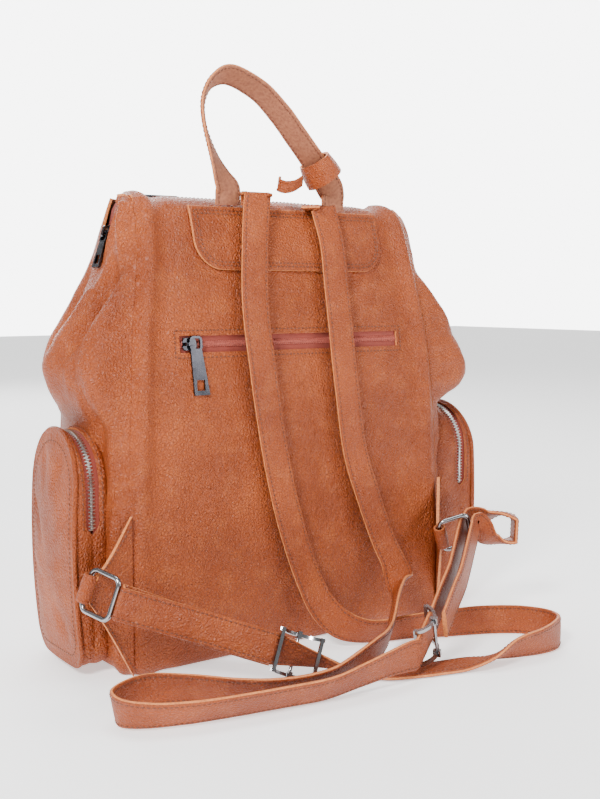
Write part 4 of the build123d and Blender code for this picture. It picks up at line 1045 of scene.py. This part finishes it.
def knot():
    """The handle's cone-shaped wrap round its own right leg, and its short curled tail."""
    leg, deep = np.array((0.6, 0, -0.8)), np.array((0, 1.0, 0))
    wide = np.cross(leg, deep)
    centre = np.array((36, -38, 360.5))
    angle = np.linspace(0, 2 * math.pi, 72, endpoint=False)
    rows = []
    for u in np.linspace(0, 1, 15):
        a = 10.0 + 3.5 * u
        reach = 1 + 0.05 * math.sin(math.pi * u)
        ring = []
        for k in angle:
            crumple = 1 + 0.03 * math.sin(3 * k + 2 * u) + 0.02 * math.sin(7 * k - 3 * u)
            ring.append(centre + leg * (-9.5 + 18 * u + 1.2 * math.sin(k)) + (
                wide * (a * math.cos(k)) + deep * (14.2 * math.sin(k))) * (reach * crumple))
        rows.append(ring)
    rows = np.array(rows)
    build = Build()
    n = normals(rows, True)
    sign = np.sign((n * (rows - centre)).sum())
    skin(rows + n * (sign * 0.9), 1.8, build, sign, wrap=True)
    build.done("knot_leather", [SMOOTH_TAN, FLESH, EDGE], ["handle_knot"], "handle")
    tail = stations((15, -43, 351, (0.1, -0.4, 0.9)), (7, -44.5, 347, (0.1, -0.4, 0.9)),
                    (-1, -44.5, 345.5, (0.1, -0.3, 0.95)), (-4.5, -41.5, 347, (0.1, -0.1, 1)),
                    (-2, -38.5, 350, (0.1, 0, 1)))
    strap("knot_tail", tail, 9.5, 2.0, (), "handle", stitched=False, under=FLESH)


def yoke():
    """Patch over the strap roots: square top corners, round bottom corners, double stitching."""
    low, high, half, corner, middle = 283.0, 329.0, 86.0, 22.0, 4.0

    def outline(inset):
        r = corner - inset
        points = [(half - inset, z) for z in np.linspace(low + corner, high - inset, 12)][:-1]
        points += [(x, high - inset) for x in np.linspace(half - inset, -(half - inset), 60)][:-1]
        points += [(-(half - inset), z) for z in np.linspace(high - inset, low + corner, 12)][:-1]
        points += [(-(half - corner) + r * math.cos(a), low + corner + r * math.sin(a))
                   for a in np.linspace(math.pi, 1.5 * math.pi, 12)]
        points += [(x, low + inset) for x in np.linspace(-(half - corner), half - corner, 44)][1:-1]
        points += [(half - corner + r * math.cos(a), low + corner + r * math.sin(a))
                   for a in np.linspace(1.5 * math.pi, 2 * math.pi, 12)][:-1]
        return points

    def place(points, height):
        out = []
        for x, z in points:
            level = -(depth(z, -1)) - 0.5
            bump = height
            for root in (HANDLE_ROOTS[0], -27, 24, HANDLE_ROOTS[1]):
                bump += (0.9 if height > 1 else 0) * hill(x, root, 11) * np.clip((z - 296) / 22, 0, 1)
            out.append((x + middle, level - bump, z))
        return out

    build = Build()
    rim = ((0, 0.0), (0, 1.5), (0.3, 2.0), (0.9, 2.25), (2.4, 2.3), (3.1, 2.0), (3.9, 2.3), (8, 2.5))
    rings = [place(outline(inset), height) for inset, height in rim]
    index = [1, 1] + [0] * 6
    core = np.array(outline(8))
    centre = (low + high) / 2
    for share in (0.75, 0.5, 0.25, 0.04):
        across = core[:, 0] * (0.25 + 0.75 * share if share > 0.05 else 0.25)
        rings.append(place(np.stack([across, centre + (core[:, 1] - centre) * share], axis=1), 2.6))
        index.append(0)
    grid = np.array(rings)
    lift = 0.25 * rough_noise(grid, 18.0, 51.0) * np.array([0] * 4 + [1] * (len(grid) - 4))[:, None]
    grid[..., 1] -= lift
    wide = grid.shape[1]
    for i in range(len(grid) - 1):
        build.grid(grid[i:i + 2], wrap=True, index=index[i])
    build.cap(build.count - wide, wide)
    build.cap(0, wide, True, 1)
    build.done("yoke_leather", [TAN, EDGE], ["back_yoke"])
    thread = Build()
    for inset in (3.1, 5.6):
        path = np.array(place(outline(inset), 2.15 if inset < 4 else 2.4))
        path = np.concatenate([path, path[:1]])
        lean = np.tile(unit((0, -0.97, 0.23)), (len(path), 1))
        stitch_row(thread, path, lean)
    thread.done("yoke_stitches", [THREAD])


# ---- assembly ---------------------------------------------------------------------------------
back_rows = back_panel()
front_rows = front_panel()
gusset_rows = {side: gusset(side, name) for name, side in (("left", -1), ("right", 1))}
find_back = surface(back_rows)

border = np.concatenate([back_rows[0][::-1], gusset_rows[-1][0], front_rows[0], gusset_rows[1][0][::-1]])
base(border)
loft_box("lining_cloth", [12, 60, 117, 170, 200, 231, 262, 297, 322], 8.0, 0.8, LINING_CLOTH,
         "lining")
flat = [station(0, -depth(z, -1) + 5.2, z, (1, 0, 0)) for z in (242, 206, 170, 130, 95)]
pouch_path = np.array([p for p, _ in smooth(flat, 4)])
pouch_build = Build()
pouch_columns = [np.array((x, 0.3 * math.sin(x / 9.0), 0)) for x in np.linspace(-103, 103, 40)]
pouch_front = np.array([[p + column for column in pouch_columns] for p in pouch_path])
skin(pouch_front, 1.4, pouch_build, 1.0)
pouch_build.done("pouch_cloth", [LINING_CLOTH] * 3, ["back_pouch"])

yoke()

# Back zip: tapes and coil just inside the window, and stitches round it.
tilt = math.atan2(depth(SLOT_Z - 15, -1) - depth(SLOT_Z + 15, -1), 30.0)
up, out_back = np.array((0, math.sin(tilt), math.cos(tilt))), np.array((0, -math.cos(tilt), math.sin(tilt)))
slot_middle = np.array((0, -depth(SLOT_Z, -1), SLOT_Z)) - out_back * (LEATHER + 0.1)
line = np.array([slot_middle + np.array((x, 0, 0)) for x in (SLOT_HALF[0] + 5, -SLOT_HALF[0] - 5)])
zip_tapes("back_zip_tape_cloth", line, np.array([up, up]), 13.0, "back_zip_tape")
line = np.array([slot_middle + np.array((x, 0, 0)) for x in (SLOT_HALF[0] - 0.5, -SLOT_HALF[0] + 0.5)])
zip_chain("back_zip_coil_teeth", line, np.array([up, up]), COIL_PITCH, COIL, COIL_NYLON,
          "back_zip_coil", 0.02)
thread = Build()
reach_x, reach_z = SLOT_HALF[0] + 3.6, SLOT_HALF[1] + 3.6
xs, zs = np.linspace(-reach_x, reach_x, 80), np.linspace(SLOT_Z + reach_z, SLOT_Z - reach_z, 8)
ring = [(x, zs[0]) for x in xs] + [(reach_x, z) for z in zs[1:]]
ring += [(x, zs[-1]) for x in xs[-2::-1]] + [(-reach_x, z) for z in zs[-2::-1]]
path = np.array([(x, find_back(x, z)[1], z) for x, z in ring])
stitch_row(thread, path, np.tile(out_back, (len(path), 1)))
thread.done("back_zip_stitches", [THREAD])

# Main zip along the top and down both ends.
MAIN_ZIP = [(128.5, 290.0), (127.0, 300.0), (121.2, 318.0), (119.4, 327.0), (115.5, 332.9)]
zip_line = MAIN_ZIP + [(-x, z) for x, z in MAIN_ZIP[::-1]]
main_path = np.array([(x, 0, z) for x, z in zip_line], float)
main_across = np.tile((0, 1.0, 0), (len(main_path), 1))
zip_tapes("main_zip_tape_cloth", main_path, main_across, 7.5, "main_zip_tape")
zip_chain("main_zip_coil_teeth", main_path, main_across, COIL_PITCH, COIL, TOP_COIL,
          "main_zip_coil", 0.02)
thread = Build()
for side, rows in ((-1, back_rows), (1, front_rows)):
    rail = rows[-2] * 0.6 + rows[-3] * 0.4
    keep = np.abs(rail[:, 0]) < 104
    n = normals(rows)
    n *= np.sign(n[-1, :, 2].mean())
    stitch_row(thread, rail[keep] + n[-2][keep] * 0.05, n[-2][keep])
thread.done("top_stitches", [THREAD])

for name, side in (("left", -1), ("right", 1)):
    pocket(side, name)

for name, corner in (("left", LEFT), ("right", RIGHT)):
    corner.tab(name)
strap("left_strap_leather", left_strap(), STRAP_WIDTH, STRAP, ["left_strap"])
strap("right_strap_leather", right_strap(), STRAP_WIDTH, STRAP, ["right_strap"])
handle()
knot()

# ---- finishes of the CAD pieces that stay -------------------------------------------------------
finishes = {"slider": DARK_NICKEL, "puller": DARK_NICKEL, "ring": NICKEL, "adjuster": NICKEL,
            "bar": NICKEL, "board": BOARD}
for name, obj in nodes.items():
    for ending, finish in finishes.items():
        if name.endswith(ending):
            for material_slot in obj.material_slots:
                material_slot.material = finish

# ---- floor, light and camera --------------------------------------------------------------------
floor_mat, floor_tree, floor_shader, floor_coords = material("floor_paper")
grain = cloud_of(floor_tree, floor_coords, 30.0, 2.0)
floor_tree.links.new(mix(floor_tree, grain, (0.93, 0.93, 0.93, 1), (0.96, 0.96, 0.96, 1)),
                     floor_shader.inputs["Base Color"])
floor_shader.inputs["Roughness"].default_value = 0.9
floor_shader.inputs["Emission Color"].default_value = (1, 1, 1, 1)
floor_shader.inputs["Emission Strength"].default_value = 0.75
floor_mesh = bpy.data.meshes.new("floor")
floor_mesh.from_pydata([(-6, -6, -0.0004), (6, -6, -0.0004), (6, 6, -0.0004), (-6, 6, -0.0004)], [],
                       [(0, 1, 2, 3)])
floor_mesh.materials.append(floor_mat)
floor = bpy.data.objects.new("floor", floor_mesh)
bpy.context.collection.objects.link(floor)

world = bpy.data.worlds.new("studio")
world.use_nodes = True
sky = world.node_tree
aim = sky.nodes.new("ShaderNodeTexCoord").outputs["Generated"]
toward = add(sky, "ShaderNodeVectorMath", [(0, aim), (1, (0.585, 0.805, 0.0))], operation="DOT_PRODUCT")
glow = ramp(sky, toward.outputs["Value"], 0.7, 0.93)
strength = maths(sky, "ADD", maths(sky, "MULTIPLY", glow, 6.5), 0.42)
sky.links.new(strength, sky.nodes["Background"].inputs["Strength"])
sky.nodes["Background"].inputs["Color"].default_value = (1, 1, 1, 1)
bpy.context.scene.world = world


def lamp(name, place, target, size, power):
    data = bpy.data.lights.new(name, "AREA")
    data.energy, data.size = power, size
    obj = bpy.data.objects.new(name, data)
    obj.location = place
    obj.rotation_euler = (Vector(target) - Vector(place)).to_track_quat("-Z", "Y").to_euler()
    bpy.context.collection.objects.link(obj)


lamp("key", (-1.3, -0.8, 1.2), (0, 0, 0.2), 0.4, 46)
lamp("fill", (1.2, -1.5, 0.8), (0, 0, 0.2), 0.8, 20)
lamp("top", (0.1, 0.2, 1.9), (0, 0, 0.2), 1.0, 22)
lamp("back", (0.3, 1.8, 1.2), (0, 0.4, 0.0), 1.6, 30)

camera = bpy.data.objects.new("camera", bpy.data.cameras.new("camera"))
camera.data.lens = 50.28
camera.data.sensor_width = 36.0
camera.location = (-0.491, -0.737, 0.266)
camera.rotation_euler = Vector((0.5852, 0.8054, -0.0945)).to_track_quat("-Z", "Y").to_euler()
bpy.context.collection.objects.link(camera)
bpy.context.scene.camera = camera
